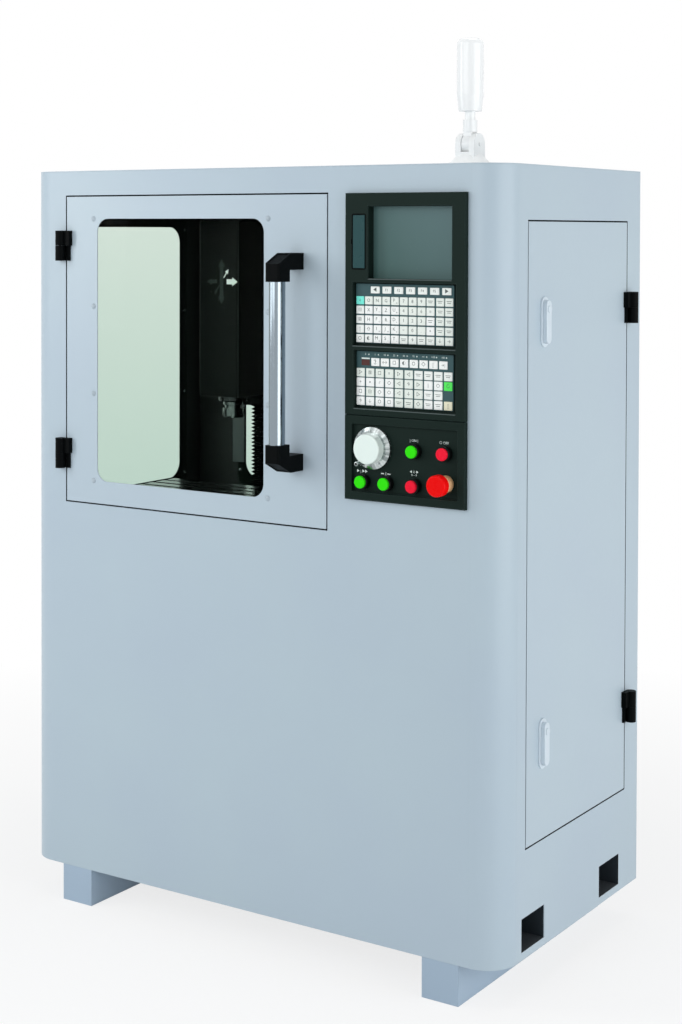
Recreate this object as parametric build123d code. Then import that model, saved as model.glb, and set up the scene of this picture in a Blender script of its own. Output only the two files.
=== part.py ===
from build123d import *
from math import cos, pi, radians, sin
import os

# Cabinet machining centre. Millimetres, floor at z = 0, front towards -Y, operator's right is +X.
# Pieces are laid out from the cabinet's front left corner and shifted to the frame's origin when saved.

# Cabinet
cabinet_width = 1180
cabinet_depth = 613
cabinet_height = 1510
foot_height = 78
foot_width = 80
foot_inset_left = 102
foot_inset_right = 88
foot_wall = 4
skin = 2
corner_radius = 66
chamber_width = 798

# Front door
door_left = 112.5
door_width = 677.5
door_bottom = 874.5
door_height = 658
door_gap = 3
door_skin = 1.5
door_return = 25
window_margin_left = 86.5
window_width = 439
window_margin_bottom = 48.5
window_height = 562
window_corner = 28
window_overlap = 20
pane_thickness = 6
pane_screw_offset = 10.5
pane_screw_radius = 3
pane_screw_rows = 4

# Side door
side_door_front = 102.5
side_door_width = 444
side_door_bottom = 288.5
side_door_height = 1191

# Frame behind each door and its rubber seal
rebate_depth = 31
rebate_lip = 20
rebate_wall = 1.5
seal_width = 12
seal_clearance = 0.3

# Windows in the left and rear walls
side_window_front = 100
side_window_width = 431
side_window_bottom = 858
side_window_height = 610
side_window_corner = 38
rear_window_left = 144
rear_window_width = 480
vent_left = 890
vent_length = 200
vent_slot = 6
vent_pitch = 15
vent_slots = 9
vent_rows = (260, 1350)

# Hinges
hinge_height = 65
hinge_reach = 22
hinge_leaf = 24.5
hinge_tab = 20.5
hinge_tab_thickness = 5
hinge_pin_radius = 3
running_clearance = 0.05
face_clearance = 0.3
front_hinge_heights = (978, 1427)
side_hinge_heights = (462, 1302)

# Door handle
handle_reach = 85
handle_x = 718
bracket_width = 34
bracket_foot = 33
bracket_socket = 38
bracket_drop = 23
bracket_slope = 21
slope_rim = 4
slope_depth = 1.2
handle_bottom = 1042
handle_length = 319
handle_tube_width = 30
handle_tube_depth = 36
handle_tube_wall = 2
handle_tube_insert = 18
bracket_bolt_radius = 3.3

# Side door latches
latch_y = 167
latch_heights = (474, 1287)
latch_plate_height = 97
latch_plate_width = 31
latch_plate_thickness = 3
latch_lever_height = 84
latch_lever_width = 20
latch_lever_thickness = 9
latch_pivot_drop = 24
latch_shaft_radius = 6
latch_neck_radius = 9
latch_cam_length = 60
latch_cam_width = 18
latch_cam_thickness = 4
latch_cam_clearance = 1.5

# Control panel
panel_left = 839
panel_width = 268
panel_proud = 10
panel_bottom = 940
panel_seam = 1104.5
panel_top = 1534
panel_gap = 0.8
panel_inset = 9
pocket_bevel = 1.5
panel_back = 34
panel_floor = 3

screen_left = 892
screen_bottom = 1369
screen_width = 185
screen_height = 139
screen_recess = 20
screen_thickness = 8

port_left = 856.5
port_bottom = 1388
port_width = 28.5
port_height = 104
port_gap = 1
port_thickness = 3
port_pocket = 9
port_pivot_radius = 2
port_pin_radius = 1
port_pin_length = 3

keypad_recess = 10
keypad_thickness = 3
key_height = 1.6
key_row_pitch = 18.4
edit_pad_left = 857
edit_pad_bottom = 1239
edit_pad_width = 229
edit_pad_height = 122
edit_key_margin = 3.2
edit_key_pitch = 19.7
edit_key_width = 17.4
edit_key_height = 15.6
edit_key_lift = 6.3
edit_columns = 11
edit_rows = 5
edit_column_shift = 1.4
soft_key_margin = 36
soft_key_pitch = 26.5
soft_key_width = 20
soft_key_height = 13.5
soft_key_lift = 101.5
soft_keys = 7
run_pad_left = 860
run_pad_bottom = 1118
run_pad_width = 226
run_pad_height = 112
run_key_margin = 1.2
run_key_pitch = 21.7
run_key_width = 18.4
run_key_height = 16.6
run_key_lift = 5.7
run_columns = 10
run_rows = 4
blank_run_key = (9, 1)
mode_key_margin = 34.6
mode_key_pitch = 21.6
mode_key_width = 18.3
mode_key_height = 15.4
mode_key_lift = 82.5
mode_keys = 8
display_margin = 12
display_width = 18.4
display_height = 11.5
display_lift = 83

operator_recess = 7
operator_margin = 17
wheel_centre = (902, 1042.5)
wheel_skirt_radius = 41
wheel_skirt_height = 11
wheel_cap_radius = 29
wheel_height = 29
wheel_shaft_radius = 5
wheel_graduations = 50
crank_gap = 0.5
crank_angle = 238
crank_knob_radius = 4.5
crank_knob_height = 24
crank_pin_radius = 2

button_radius = 12
button_bezel_wall = 2.5
button_bezel_height = 14
button_proud = 5
button_travel = 3.5
button_stem_radius = 4
button_body_radius = 11
button_block = 28
button_block_depth = 36
button_spots = {
    "on_button": (995.5, 1042.5),
    "off_button": (1062.5, 1042.5),
    "start_button": (880.5, 976.5),
    "hold_button": (933.5, 976.5),
    "release_button": (995.5, 976.5),
}
estop_centre = (1063, 985.5)
estop_head_radius = 20.5
estop_head_height = 17
estop_collar_radius = 16.5
estop_collar_height = 15
estop_neck_radius = 13
estop_gap = 9
estop_stem_radius = 5
estop_travel = 5

# Signal lamp
lamp_x = 1026
lamp_y = 150
lamp_flange_radius = 42
lamp_flange_height = 8
lamp_cone_height = 15
lamp_fork_gap = 18
lamp_fork_width = 30
lamp_joint_radius = 22
lamp_pivot_height = 42
lamp_pin_radius = 4
lamp_neck_radius = 14
lamp_neck_height = 24
lamp_stalk_radius = 10
lamp_stalk_height = 17
lamp_body_radius = 26.5
lamp_body_height = 142
lamp_wall = 2.5
lamp_taper = 4

# Base and stand
pan_bearer = 10
pocket_front = 86
pocket_width = 94.5
pocket_pitch = 341
pocket_bottom = 93
pocket_height = 64
pocket_wall = 3
stand_wall = 6
tray_height = 588
tray_wall = 2
tray_rim = 45
tray_margin = 3

# Machine
spindle_x = 384
spindle_y = 240
table_length = 450
table_width = 150
table_thickness = 60
slot_pitch = 40
slot_width = 12
slot_depth = 10
slot_foot_width = 20
slot_foot_depth = 8
dovetail_height = 18
dovetail_angle = 60
slide_clearance = 0.05
x_way = 90
saddle_length = 300
saddle_width = 160
saddle_height = 88
x_travel = 110
y_way = 110
y_travel_forward = 60
y_travel_back = 55
bed_width = 240
bed_front = 100
bed_height = 152
bed_wall = 16
channel_width = 40
screw_radius = 8
screw_journal_radius = 6
screw_pitch = 5
nut_length = 40
nut_side_gap = 3
screw_drop = 30
channel_depth = 48
end_wall = 14
motor_size = 54
motor_length = 86
motor_flange = 6
y_motor_lift = 1
column_width = 160
column_front = 430
column_depth = 160
column_height = 728
column_wall = 14
column_shelves = 4
z_way = 100
z_screw_depth = 16
z_channel_depth = 40
z_channel_bottom = 780
z_channel_top = 1450
z_motor_size = 70
z_motor_length = 90
head_bottom = 1100
carriage_height = 260
carriage_thickness = 46
z_travel_down = 115
z_travel_up = 95
arm_width = 90
arm_height = 200
arm_front = 205
cover_front = 184
cover_gap = 6.5
cover_top = 1480
cover_wall = 1.5
cover_corner = 6
spindle_bore_radius = 30
spindle_nose_radius = 33
spindle_nose_height = 13
spindle_shaft_radius = 29.95
spindle_drive_radius = 7
spindle_drive_length = 20
spindle_motor_size = 92
spindle_motor_height = 140
holder_flange_radius = 23
holder_flange_height = 9
holder_body_radius = 19
holder_body_height = 6
holder_nut_radius = 24
holder_nut_height = 21
holder_bore_radius = 8
holder_slots = 6
taper_top_radius = 10
taper_bottom_radius = 15.8
taper_length = 48
taper_clearance = 0.05
bellows_pitch = 8.4
bellows_fold = 6
bellows_width = 128
bellows_front = 392
bellows_clearance = 3

# Electrical compartment
gear_gap = 0.3
drive_width = 60
drive_height = 190
drive_depth = 110
drive_count = 3
drive_pitch = 78
drive_row = 1150
transformer_size = (110, 150, 130)
rail_length = 380
rail_row = 820
breaker_count = 9
breaker_pitch = 36
gear_front = 120

skin_top = foot_height + cabinet_height
door_right = door_left + door_width
door_top = door_bottom + door_height
side_door_back = side_door_front + side_door_width
side_door_top = side_door_bottom + side_door_height
window_left = door_left + window_margin_left
window_bottom = door_bottom + window_margin_bottom
partition_x = chamber_width + skin
centre_x = (cabinet_width + hinge_reach) / 2
centre_y = (cabinet_depth - handle_reach) / 2
operator_face = operator_recess - panel_proud


def block(x0, x1, y0, y1, z0, z1):
    return Pos(x0, y0, z0) * Box(x1 - x0, y1 - y0, z1 - z0, align=(Align.MIN, Align.MIN, Align.MIN))


def rod(x, y, z, radius, height):
    return Pos(x, y, z) * Cylinder(radius, height, align=(Align.CENTER, Align.CENTER, Align.MIN))


def rod_y(x, y, z, radius, length):
    return Pos(x, y, z) * Rot(-90, 0, 0) * Cylinder(radius, length, align=(Align.CENTER, Align.CENTER, Align.MIN))


def rod_x(x, y, z, radius, length):
    return Pos(x, y, z) * Rot(0, 90, 0) * Cylinder(radius, length, align=(Align.CENTER, Align.CENTER, Align.MIN))


def profile_x(points, x0, x1):
    """A closed outline of (y, z) points, extruded from x0 to x1."""
    face = make_face(Polyline([(x0, y, z) for y, z in points], close=True))
    return extrude(face, amount=x1 - x0, dir=(1, 0, 0))


def profile_y(points, y0, y1):
    """A closed outline of (x, z) points, extruded from y0 to y1."""
    face = make_face(Polyline([(x, y0, z) for x, z in points], close=True))
    return extrude(face, amount=y1 - y0, dir=(0, 1, 0))


def profile_z(points, z0, z1):
    """A closed outline of (x, y) points, extruded from z0 to z1."""
    face = make_face(Polyline([(x, y, z0) for x, y in points], close=True))
    return extrude(face, amount=z1 - z0, dir=(0, 0, 1))


def window_cut_y(left, width, bottom, height, radius, y0, y1):
    outline = Pos(left + width / 2, y0, bottom + height / 2) * Rot(90, 0, 0) * RectangleRounded(width, height, radius)
    return extrude(outline, amount=y1 - y0, dir=(0, 1, 0))


def window_cut_x(front, width, bottom, height, radius, x0, x1):
    outline = Pos(x0, front + width / 2, bottom + height / 2) * Rot(0, 90, 0) * RectangleRounded(height, width, radius)
    return extrude(outline, amount=x1 - x0, dir=(1, 0, 0))


def dovetail_half(way, height):
    """Half width at the foot and at the crown of a dovetail whose crown is the given width."""
    crown = way / 2
    foot = crown - height / sin(radians(dovetail_angle)) * cos(radians(dovetail_angle))
    return foot, crown


def save(name, piece):
    piece = Pos(-centre_x, -centre_y, 0) * piece
    export_step(piece, f"parts/{name}.step")


# Cabinet shell

def floor_plan(inset):
    """The cabinet's plan: square at the rear, round at the two front corners."""
    radius = corner_radius - inset
    x0, x1 = inset, cabinet_width - inset
    y0, y1 = inset, cabinet_depth - inset
    edges = [
        Line((x0, y1), (x0, y0 + radius)),
        RadiusArc((x0, y0 + radius), (x0 + radius, y0), -radius),
        Line((x0 + radius, y0), (x1 - radius, y0)),
        RadiusArc((x1 - radius, y0), (x1, y0 + radius), -radius),
        Line((x1, y0 + radius), (x1, y1)),
        Line((x1, y1), (x0, y1)),
    ]
    return make_face(Wire(edges))


def foot_rails():
    rails = []
    back = cabinet_depth - foot_wall
    for left in foot_lefts():
        right = left + foot_width
        rail = block(left, right, 0, back, 0, foot_height)
        rail -= block(left + foot_wall, right - foot_wall, foot_wall, back - foot_wall, -1, foot_height - foot_wall)
        rails.append(rail)
    return Compound(children=rails)


def base_pan():
    sheet = Pos(0, 0, foot_height) * extrude(floor_plan(skin), amount=skin)
    bearer_top = foot_height + skin + pan_bearer
    for left in foot_lefts():
        sheet += block(left, left + foot_width, corner_radius, cabinet_depth - skin, foot_height, bearer_top)
    return sheet


def foot_lefts():
    return foot_inset_left, cabinet_width - foot_inset_right - foot_width


def pocket_fronts():
    return pocket_front, pocket_front + pocket_pitch


def pocket_cut(front, x0, x1):
    return block(x0, x1, front, front + pocket_width, pocket_bottom, pocket_bottom + pocket_height)


def fork_tubes():
    tubes = []
    for front in pocket_fronts():
        tube = block(
            skin, cabinet_width - skin,
            front - pocket_wall, front + pocket_width + pocket_wall,
            pocket_bottom - pocket_wall, pocket_bottom + pocket_height + pocket_wall,
        )
        tubes.append(tube - pocket_cut(front, -1, cabinet_width + 1))
    return Compound(children=tubes)


def front_shell():
    ring = floor_plan(0) - floor_plan(skin)
    wall = Pos(0, 0, foot_height) * extrude(ring, amount=cabinet_height - skin)
    wall -= block(-1, cabinet_width + 1, corner_radius, cabinet_depth + 1, 0, skin_top)
    wall -= block(
        door_left - door_gap, door_right + door_gap, -1, skin + 1,
        door_bottom - door_gap, door_top + door_gap,
    )
    inner_left = panel_left + panel_inset
    inner_right = panel_left + panel_width - panel_inset
    wall -= block(inner_left, inner_right, -1, skin + 1, panel_seam + panel_inset, panel_top - panel_inset)
    wall -= block(inner_left, inner_right, -1, skin + 1, panel_bottom + panel_inset, panel_seam - panel_inset)
    return wall


def left_panel():
    panel = block(0, skin, corner_radius, cabinet_depth, foot_height, skin_top - skin)
    panel -= window_cut_x(
        side_window_front, side_window_width, side_window_bottom, side_window_height,
        side_window_corner, -1, skin + 1,
    )
    for front in pocket_fronts():
        panel -= pocket_cut(front, -1, skin + 1)
    return panel


def right_panel():
    inner = cabinet_width - skin
    panel = block(inner, cabinet_width, corner_radius, cabinet_depth, foot_height, skin_top - skin)
    panel -= block(
        inner - 1, cabinet_width + 1, side_door_front - door_gap, side_door_back + door_gap,
        side_door_bottom - door_gap, side_door_top + door_gap,
    )
    for front in pocket_fronts():
        panel -= pocket_cut(front, inner - 1, cabinet_width + 1)
    return panel


def rear_panel():
    inner = cabinet_depth - skin
    panel = block(skin, cabinet_width - skin, inner, cabinet_depth, foot_height, skin_top - skin)
    panel -= window_cut_y(
        rear_window_left, rear_window_width, side_window_bottom, side_window_height,
        side_window_corner, inner - 1, cabinet_depth + 1,
    )
    slots = []
    for bottom in vent_rows:
        for index in range(vent_slots):
            z = bottom + index * vent_pitch
            end = vent_slot * 0.49
            slots.append(window_cut_y(vent_left, vent_length, z, vent_slot, end, inner - 1, cabinet_depth + 1))
    return panel.cut(*slots)


def top_panel():
    return Pos(0, 0, skin_top - skin) * extrude(floor_plan(0), amount=skin)


def partition():
    return block(
        chamber_width, partition_x, skin, cabinet_depth - skin,
        foot_height + skin + pan_bearer + 2 * pocket_wall + pocket_height, skin_top - skin,
    )


def rebate_frame(width, height):
    """A tray-shaped frame behind a door opening, open along +Y, with its corner at the origin."""
    frame = block(
        -rebate_wall, width + rebate_wall, 0, rebate_depth - skin + rebate_wall,
        -rebate_wall, height + rebate_wall,
    )
    frame -= block(0, width, -1, rebate_depth - skin, 0, height)
    frame -= block(rebate_lip, width - rebate_lip, 0, rebate_depth + 1, rebate_lip, height - rebate_lip)
    return frame


def seal_ring(width, height):
    """The rubber ring that a closed door meets, against the lip of the frame."""
    front = door_return + seal_clearance
    inset = (rebate_lip - seal_width) / 2
    ring = block(inset, width - inset, front, rebate_depth, inset, height - inset)
    inner = inset + seal_width
    return ring - block(inner, width - inner, 0, rebate_depth + 1, inner, height - inner)


def opening_place(side):
    """Where each opening's corner lies, and its size."""
    if side:
        width = side_door_width + 2 * door_gap
        height = side_door_height + 2 * door_gap
        corner = Pos(cabinet_width, side_door_front - door_gap, side_door_bottom - door_gap) * Rot(0, 0, 90)
        return corner, width, height
    corner = Pos(door_left - door_gap, 0, door_bottom - door_gap)
    return corner, door_width + 2 * door_gap, door_height + 2 * door_gap


def door_rebates():
    frames = []
    for side in (False, True):
        corner, width, height = opening_place(side)
        frames.append(corner * Pos(0, skin, 0) * rebate_frame(width, height))
    return Compound(children=frames)


def door_seals():
    rings = []
    for side in (False, True):
        corner, width, height = opening_place(side)
        rings.append(corner * seal_ring(width, height))
    return Compound(children=rings)


def side_windows():
    left = window_cut_x(
        side_window_front - window_overlap, side_window_width + 2 * window_overlap,
        side_window_bottom - window_overlap, side_window_height + 2 * window_overlap,
        window_overlap, skin, skin + pane_thickness,
    )
    rear_face = cabinet_depth - skin
    rear = window_cut_y(
        rear_window_left - window_overlap, rear_window_width + 2 * window_overlap,
        side_window_bottom - window_overlap, side_window_height + 2 * window_overlap,
        window_overlap, rear_face - pane_thickness, rear_face,
    )
    return Compound(children=[left, rear])


# Doors

def door_pan(width, height):
    """A folded door skin with returned edges. Corner at the origin, outer face at y = 0."""
    pan = block(0, width, 0, door_return, 0, height)
    pan -= block(door_skin, width - door_skin, door_skin, door_return + 1, door_skin, height - door_skin)
    return pan


def front_door():
    pan = Pos(door_left, 0, door_bottom) * door_pan(door_width, door_height)
    pan -= window_cut_y(window_left, window_width, window_bottom, window_height, window_corner, -1, 3)
    for x, z in pane_screw_spots():
        pan -= rod_y(x, -1, z, pane_screw_radius, 3)
    for z in bracket_bolt_heights():
        pan -= rod_y(handle_x, -1, z, bracket_bolt_radius, 3)
    return pan


def pane_screw_spots():
    spots = []
    for x in (window_left - pane_screw_offset, window_left + window_width + pane_screw_offset):
        for row in range(pane_screw_rows):
            spots.append((x, window_bottom + row * window_height / (pane_screw_rows - 1)))
    return spots


def door_window():
    pane = window_cut_y(
        window_left - window_overlap, window_width + 2 * window_overlap,
        window_bottom - window_overlap, window_height + 2 * window_overlap,
        window_overlap, door_skin, door_skin + pane_thickness,
    )
    for x, z in pane_screw_spots():
        pane -= rod_y(x, 0, z, pane_screw_radius, pane_thickness + 3)
    return pane


def door_screws():
    """Dome-headed screws that hold the pane against the back of the door skin."""
    screws = []
    head_radius = 2 * pane_screw_radius
    head_height = pane_screw_radius * 0.9
    for x, z in pane_screw_spots():
        dome = RadiusArc((0, head_height), (head_radius, 0), head_radius * 1.12)
        outline = Wire([Line((0, 0), (0, head_height)), dome, Line((head_radius, 0), (0, 0))])
        head = revolve(make_face(outline), Axis.Y, 360)
        screw = Pos(x, 0, z) * mirror(head, about=Plane.XZ)
        screw += rod_y(x, 0, z, pane_screw_radius - running_clearance, door_skin + pane_thickness)
        screws.append(screw)
    return Compound(children=screws)


def bracket_bolt_heights():
    lower_foot = handle_bottom - bracket_drop - bracket_foot / 2
    upper_foot = handle_bottom + handle_length + bracket_drop + bracket_foot / 2
    return lower_foot, upper_foot


def slope_panel(foot_top):
    """The shallow panel let into a bracket's sloped face, with a rim left all round."""
    start = Vector(-handle_reach / 2, foot_top)
    end = Vector(-handle_reach, foot_top - bracket_slope)
    along = (end - start).normalized()
    inward = Vector(-along.Y, along.X)
    near = start + along * slope_rim
    far = end - along * slope_rim
    corners = [near + inward * slope_depth, far + inward * slope_depth, far - inward, near - inward]
    half = bracket_width / 2 - slope_rim
    return profile_x([(corner.X, corner.Y) for corner in corners], -half, half)


def handle_bracket():
    """The upper bracket: a sloped arm from a foot on the door out to a socket over the tube's end."""
    socket_back = -handle_reach + bracket_socket
    foot_bottom = bracket_drop
    foot_top = bracket_drop + bracket_foot
    outline = [
        (0, foot_bottom),
        (0, foot_top),
        (-handle_reach / 2, foot_top),
        (-handle_reach, foot_top - bracket_slope),
        (-handle_reach, 0),
        (socket_back, 0),
        (socket_back, foot_bottom),
    ]
    arm = profile_x(outline, -bracket_width / 2, bracket_width / 2)
    front_edges = arm.edges().filter_by(Axis.Z).sort_by(Axis.Y)[:2]
    arm = fillet(front_edges, 5)
    arm -= slope_panel(foot_top)
    socket = Pos(0, -handle_reach + bracket_socket / 2, 0)
    arm -= socket * extrude(
        Ellipse(handle_tube_width / 2 + running_clearance, handle_tube_depth / 2 + running_clearance),
        amount=handle_tube_insert,
    )
    arm -= rod_y(0, -door_return, (foot_bottom + foot_top) / 2, bracket_bolt_radius - 0.8, door_return + 1)
    return arm


def handle_brackets():
    upper = Pos(handle_x, 0, handle_bottom + handle_length) * handle_bracket()
    lower = Pos(handle_x, 0, handle_bottom) * mirror(handle_bracket(), about=Plane.XY)
    return Compound(children=[lower, upper])


def handle_tube():
    grip_y = -handle_reach + bracket_socket / 2
    length = handle_length + 2 * handle_tube_insert
    section = Ellipse(handle_tube_width / 2, handle_tube_depth / 2)
    section -= Ellipse(handle_tube_width / 2 - handle_tube_wall, handle_tube_depth / 2 - handle_tube_wall)
    return Pos(handle_x, grip_y, handle_bottom - handle_tube_insert) * extrude(section, amount=length)


# Lift-off hinges: local +X towards the door, +Y into the cabinet, origin on the pin at mid height

def hinge_frame_half():
    knuckle = hinge_reach / 2 - face_clearance
    half = hinge_height / 2
    body = rod(0, 0, -half, knuckle, half - face_clearance / 2)
    body += block(-hinge_reach / 2, 6.5, 0, hinge_reach / 2, -half, -face_clearance / 2)
    body += rod(0, 0, -half, hinge_pin_radius, hinge_height - 6)
    return body


def hinge_door_half():
    knuckle = hinge_reach / 2 - face_clearance
    half = hinge_height / 2
    seat = hinge_reach / 2
    body = rod(0, 0, face_clearance / 2, knuckle, half - face_clearance / 2)
    body += block(0, 9.5, 0, seat - face_clearance, face_clearance / 2, half)
    body += block(9.5, hinge_leaf, 0, seat, face_clearance / 2, half)
    body += block(hinge_leaf - 12, hinge_tab, seat - hinge_tab_thickness, seat, -half, half)
    body -= rod(0, 0, -half, hinge_pin_radius + running_clearance, hinge_height - 5)
    return body


def hinge_places():
    front = []
    axis_x = door_left - 9.5
    for z in front_hinge_heights:
        front.append(Pos(axis_x, -hinge_reach / 2, z))
    side = []
    axis_y = side_door_back + 9.5
    for z in side_hinge_heights:
        side.append(Pos(cabinet_width + hinge_reach / 2, axis_y, z) * Rot(0, 0, 90))
    return front, side


def frame_hinges():
    front, side = hinge_places()
    halves = [place * hinge_frame_half() for place in front]
    halves += [place * mirror(hinge_frame_half(), about=Plane.YZ) for place in side]
    return Compound(children=halves)


def front_door_hinges():
    front, _ = hinge_places()
    return Compound(children=[place * hinge_door_half() for place in front])


def side_door_hinges():
    _, side = hinge_places()
    return Compound(children=[place * mirror(hinge_door_half(), about=Plane.YZ) for place in side])


# Side door and its two turning latches

def side_door():
    corner = Pos(cabinet_width, side_door_front, side_door_bottom) * Rot(0, 0, 90)
    pan = corner * door_pan(side_door_width, side_door_height)
    for z in latch_heights:
        pan -= rod_x(cabinet_width - 3, latch_y, latch_pivot_z(z), latch_neck_radius, 4)
    return pan


def latch_pivot_z(z):
    return z + latch_plate_height / 2 - latch_pivot_drop


def stadium(width, height):
    return RectangleRounded(height, width, width / 2 - 0.01)


def latch_plates():
    plates = []
    for z in latch_heights:
        plate = extrude(stadium(latch_plate_width, latch_plate_height), amount=latch_plate_thickness)
        plate = Pos(cabinet_width, latch_y, z) * Rot(0, 90, 0) * plate
        neck_start = cabinet_width - door_skin - 8
        neck_radius = latch_neck_radius - running_clearance
        plate += rod_x(neck_start, latch_y, latch_pivot_z(z), neck_radius, cabinet_width - neck_start)
        bore = latch_shaft_radius + running_clearance
        plate -= rod_x(neck_start - 1, latch_y, latch_pivot_z(z), bore, 20)
        plates.append(plate)
    return Compound(children=plates)


def latch_lever(z):
    """Lever, shaft and cam of one latch. The lever hangs down and the cam points up while the latch is open."""
    pivot_z = latch_pivot_z(z)
    base = cabinet_width + latch_plate_thickness + face_clearance
    lever = extrude(stadium(latch_lever_width, latch_lever_height), amount=latch_lever_thickness)
    lever = Pos(base, latch_y, z) * Rot(0, 90, 0) * lever
    lever = fillet(lever.faces().sort_by(Axis.X)[-1].edges(), 2)
    cam_back = cabinet_width - rebate_depth - rebate_wall - latch_cam_clearance
    shaft_start = cam_back - latch_cam_thickness
    lever += rod_x(shaft_start, latch_y, pivot_z, latch_shaft_radius, base - shaft_start + 1)
    half = latch_cam_width / 2
    lever += block(
        shaft_start, cam_back, latch_y - half, latch_y + half,
        pivot_z - half, pivot_z + latch_cam_length,
    )
    key_face = base + latch_lever_thickness
    lever += rod_x(key_face - 1, latch_y, pivot_z, latch_lever_width * 0.36, 2.5)
    return lever


# Control panel on the front skin

def pocket_y(x, z, width, height, y0, y1):
    return block(x, x + width, y0, y1, z, z + height)


def pocket_rim(x, z, width, height):
    """The sloped rim round a pocket's mouth, cut from the panel's face inwards."""
    middle = (x + width / 2, -panel_proud, z + height / 2)
    mouth = Plane(origin=middle, x_dir=(1, 0, 0), z_dir=(0, 1, 0))
    return extrude(mouth * Rectangle(width + 2 * pocket_bevel, height + 2 * pocket_bevel), pocket_bevel, taper=45)


def panel_frame():
    right = panel_left + panel_width
    frame = block(panel_left, right, -panel_proud, 0, panel_seam + panel_gap / 2, panel_top)
    rim = frame.faces().sort_by(Axis.Y)[0].edges()
    frame = chamfer(rim, 1.5)
    frame += block(
        panel_left + panel_inset + running_clearance, right - panel_inset - running_clearance, -1, panel_back,
        panel_seam + panel_inset + running_clearance, panel_top - panel_inset - running_clearance,
    )
    frame -= pocket_y(
        screen_left, screen_bottom, screen_width, screen_height,
        -panel_proud - 1, -panel_proud + screen_recess + screen_thickness,
    )
    floor = -panel_proud + keypad_recess + keypad_thickness
    for mouth in (
        (edit_pad_left, edit_pad_bottom, edit_pad_width, edit_pad_height),
        (run_pad_left, run_pad_bottom, run_pad_width, run_pad_height),
    ):
        frame -= pocket_y(*mouth, -panel_proud - 1, floor)
        frame -= pocket_rim(*mouth)
    frame -= pocket_rim(screen_left, screen_bottom, screen_width, screen_height)
    frame -= pocket_y(
        port_left, port_bottom, port_width, port_height, -panel_proud - 1, -panel_proud + port_pocket,
    )
    notch_z = port_bottom + port_height / 2
    frame -= pocket_y(port_left - 4, notch_z - 5, 5, 10, -panel_proud - 1, -panel_proud + 4)
    pin_x, pin_y = port_pivot()
    frame -= rod(
        pin_x, pin_y, port_bottom - port_pin_length, port_pin_radius + running_clearance,
        port_height + 2 * port_pin_length,
    )
    hollow_front = -panel_proud + screen_recess + screen_thickness + panel_floor
    frame -= block(
        panel_left + panel_inset + 4, right - panel_inset - 4, hollow_front, panel_back + 1,
        panel_seam + panel_inset + 4, panel_top - panel_inset - 4,
    )
    return frame


def port_pivot():
    right = port_left + port_width
    return right - port_pivot_radius - 0.6, -panel_proud + port_pivot_radius


def port_cover():
    """The narrow flap over the service port. It turns on a barrel along its right edge."""
    pin_x, pin_y = port_pivot()
    bottom = port_bottom + port_gap
    height = port_height - 2 * port_gap
    cover = block(port_left + port_gap, pin_x, -panel_proud, -panel_proud + port_thickness, bottom, bottom + height)
    cover += rod(pin_x, pin_y, bottom, port_pivot_radius, height)
    pin_start = port_bottom - port_pin_length + face_clearance
    cover += rod(pin_x, pin_y, pin_start, port_pin_radius, port_height + 2 * (port_pin_length - face_clearance))
    return cover


def screen():
    face = -panel_proud + screen_recess
    return pocket_y(
        screen_left, screen_bottom, screen_width, screen_height, face, face + screen_thickness,
    )


def raised(x, z, width, height):
    face = -panel_proud + keypad_recess
    return pocket_y(x, z, width, height, face - key_height, face)


def pad_sheet(left, bottom, width, height):
    face = -panel_proud + keypad_recess
    return pocket_y(left, bottom, width, height, face, face + keypad_thickness)


def keypads():
    """Two sealed keypads: the letter and number keys above, the machine's own keys below."""
    edit_keys = []
    for row in range(edit_rows):
        for column in range(edit_columns):
            shift = edit_column_shift if column >= edit_columns - 2 else 0
            left = edit_pad_left + edit_key_margin + column * edit_key_pitch + shift
            bottom = edit_pad_bottom + edit_key_lift + row * key_row_pitch
            edit_keys.append(raised(left, bottom, edit_key_width, edit_key_height))
    for index in range(soft_keys):
        left = edit_pad_left + soft_key_margin + index * soft_key_pitch
        edit_keys.append(raised(left, edit_pad_bottom + soft_key_lift, soft_key_width, soft_key_height))
    run_keys = []
    for row in range(run_rows):
        for column in range(run_columns):
            if (column, row) == blank_run_key:
                continue
            left = run_pad_left + run_key_margin + column * run_key_pitch
            bottom = run_pad_bottom + run_key_lift + row * key_row_pitch
            run_keys.append(raised(left, bottom, run_key_width, run_key_height))
    for index in range(mode_keys):
        left = run_pad_left + mode_key_margin + index * mode_key_pitch
        run_keys.append(raised(left, run_pad_bottom + mode_key_lift, mode_key_width, mode_key_height))
    run_keys.append(raised(run_pad_left + display_margin, run_pad_bottom + display_lift, display_width, display_height))
    edit_pad = pad_sheet(edit_pad_left, edit_pad_bottom, edit_pad_width, edit_pad_height).fuse(*edit_keys)
    run_pad = pad_sheet(run_pad_left, run_pad_bottom, run_pad_width, run_pad_height).fuse(*run_keys)
    return Compound(children=[edit_pad, run_pad])


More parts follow.
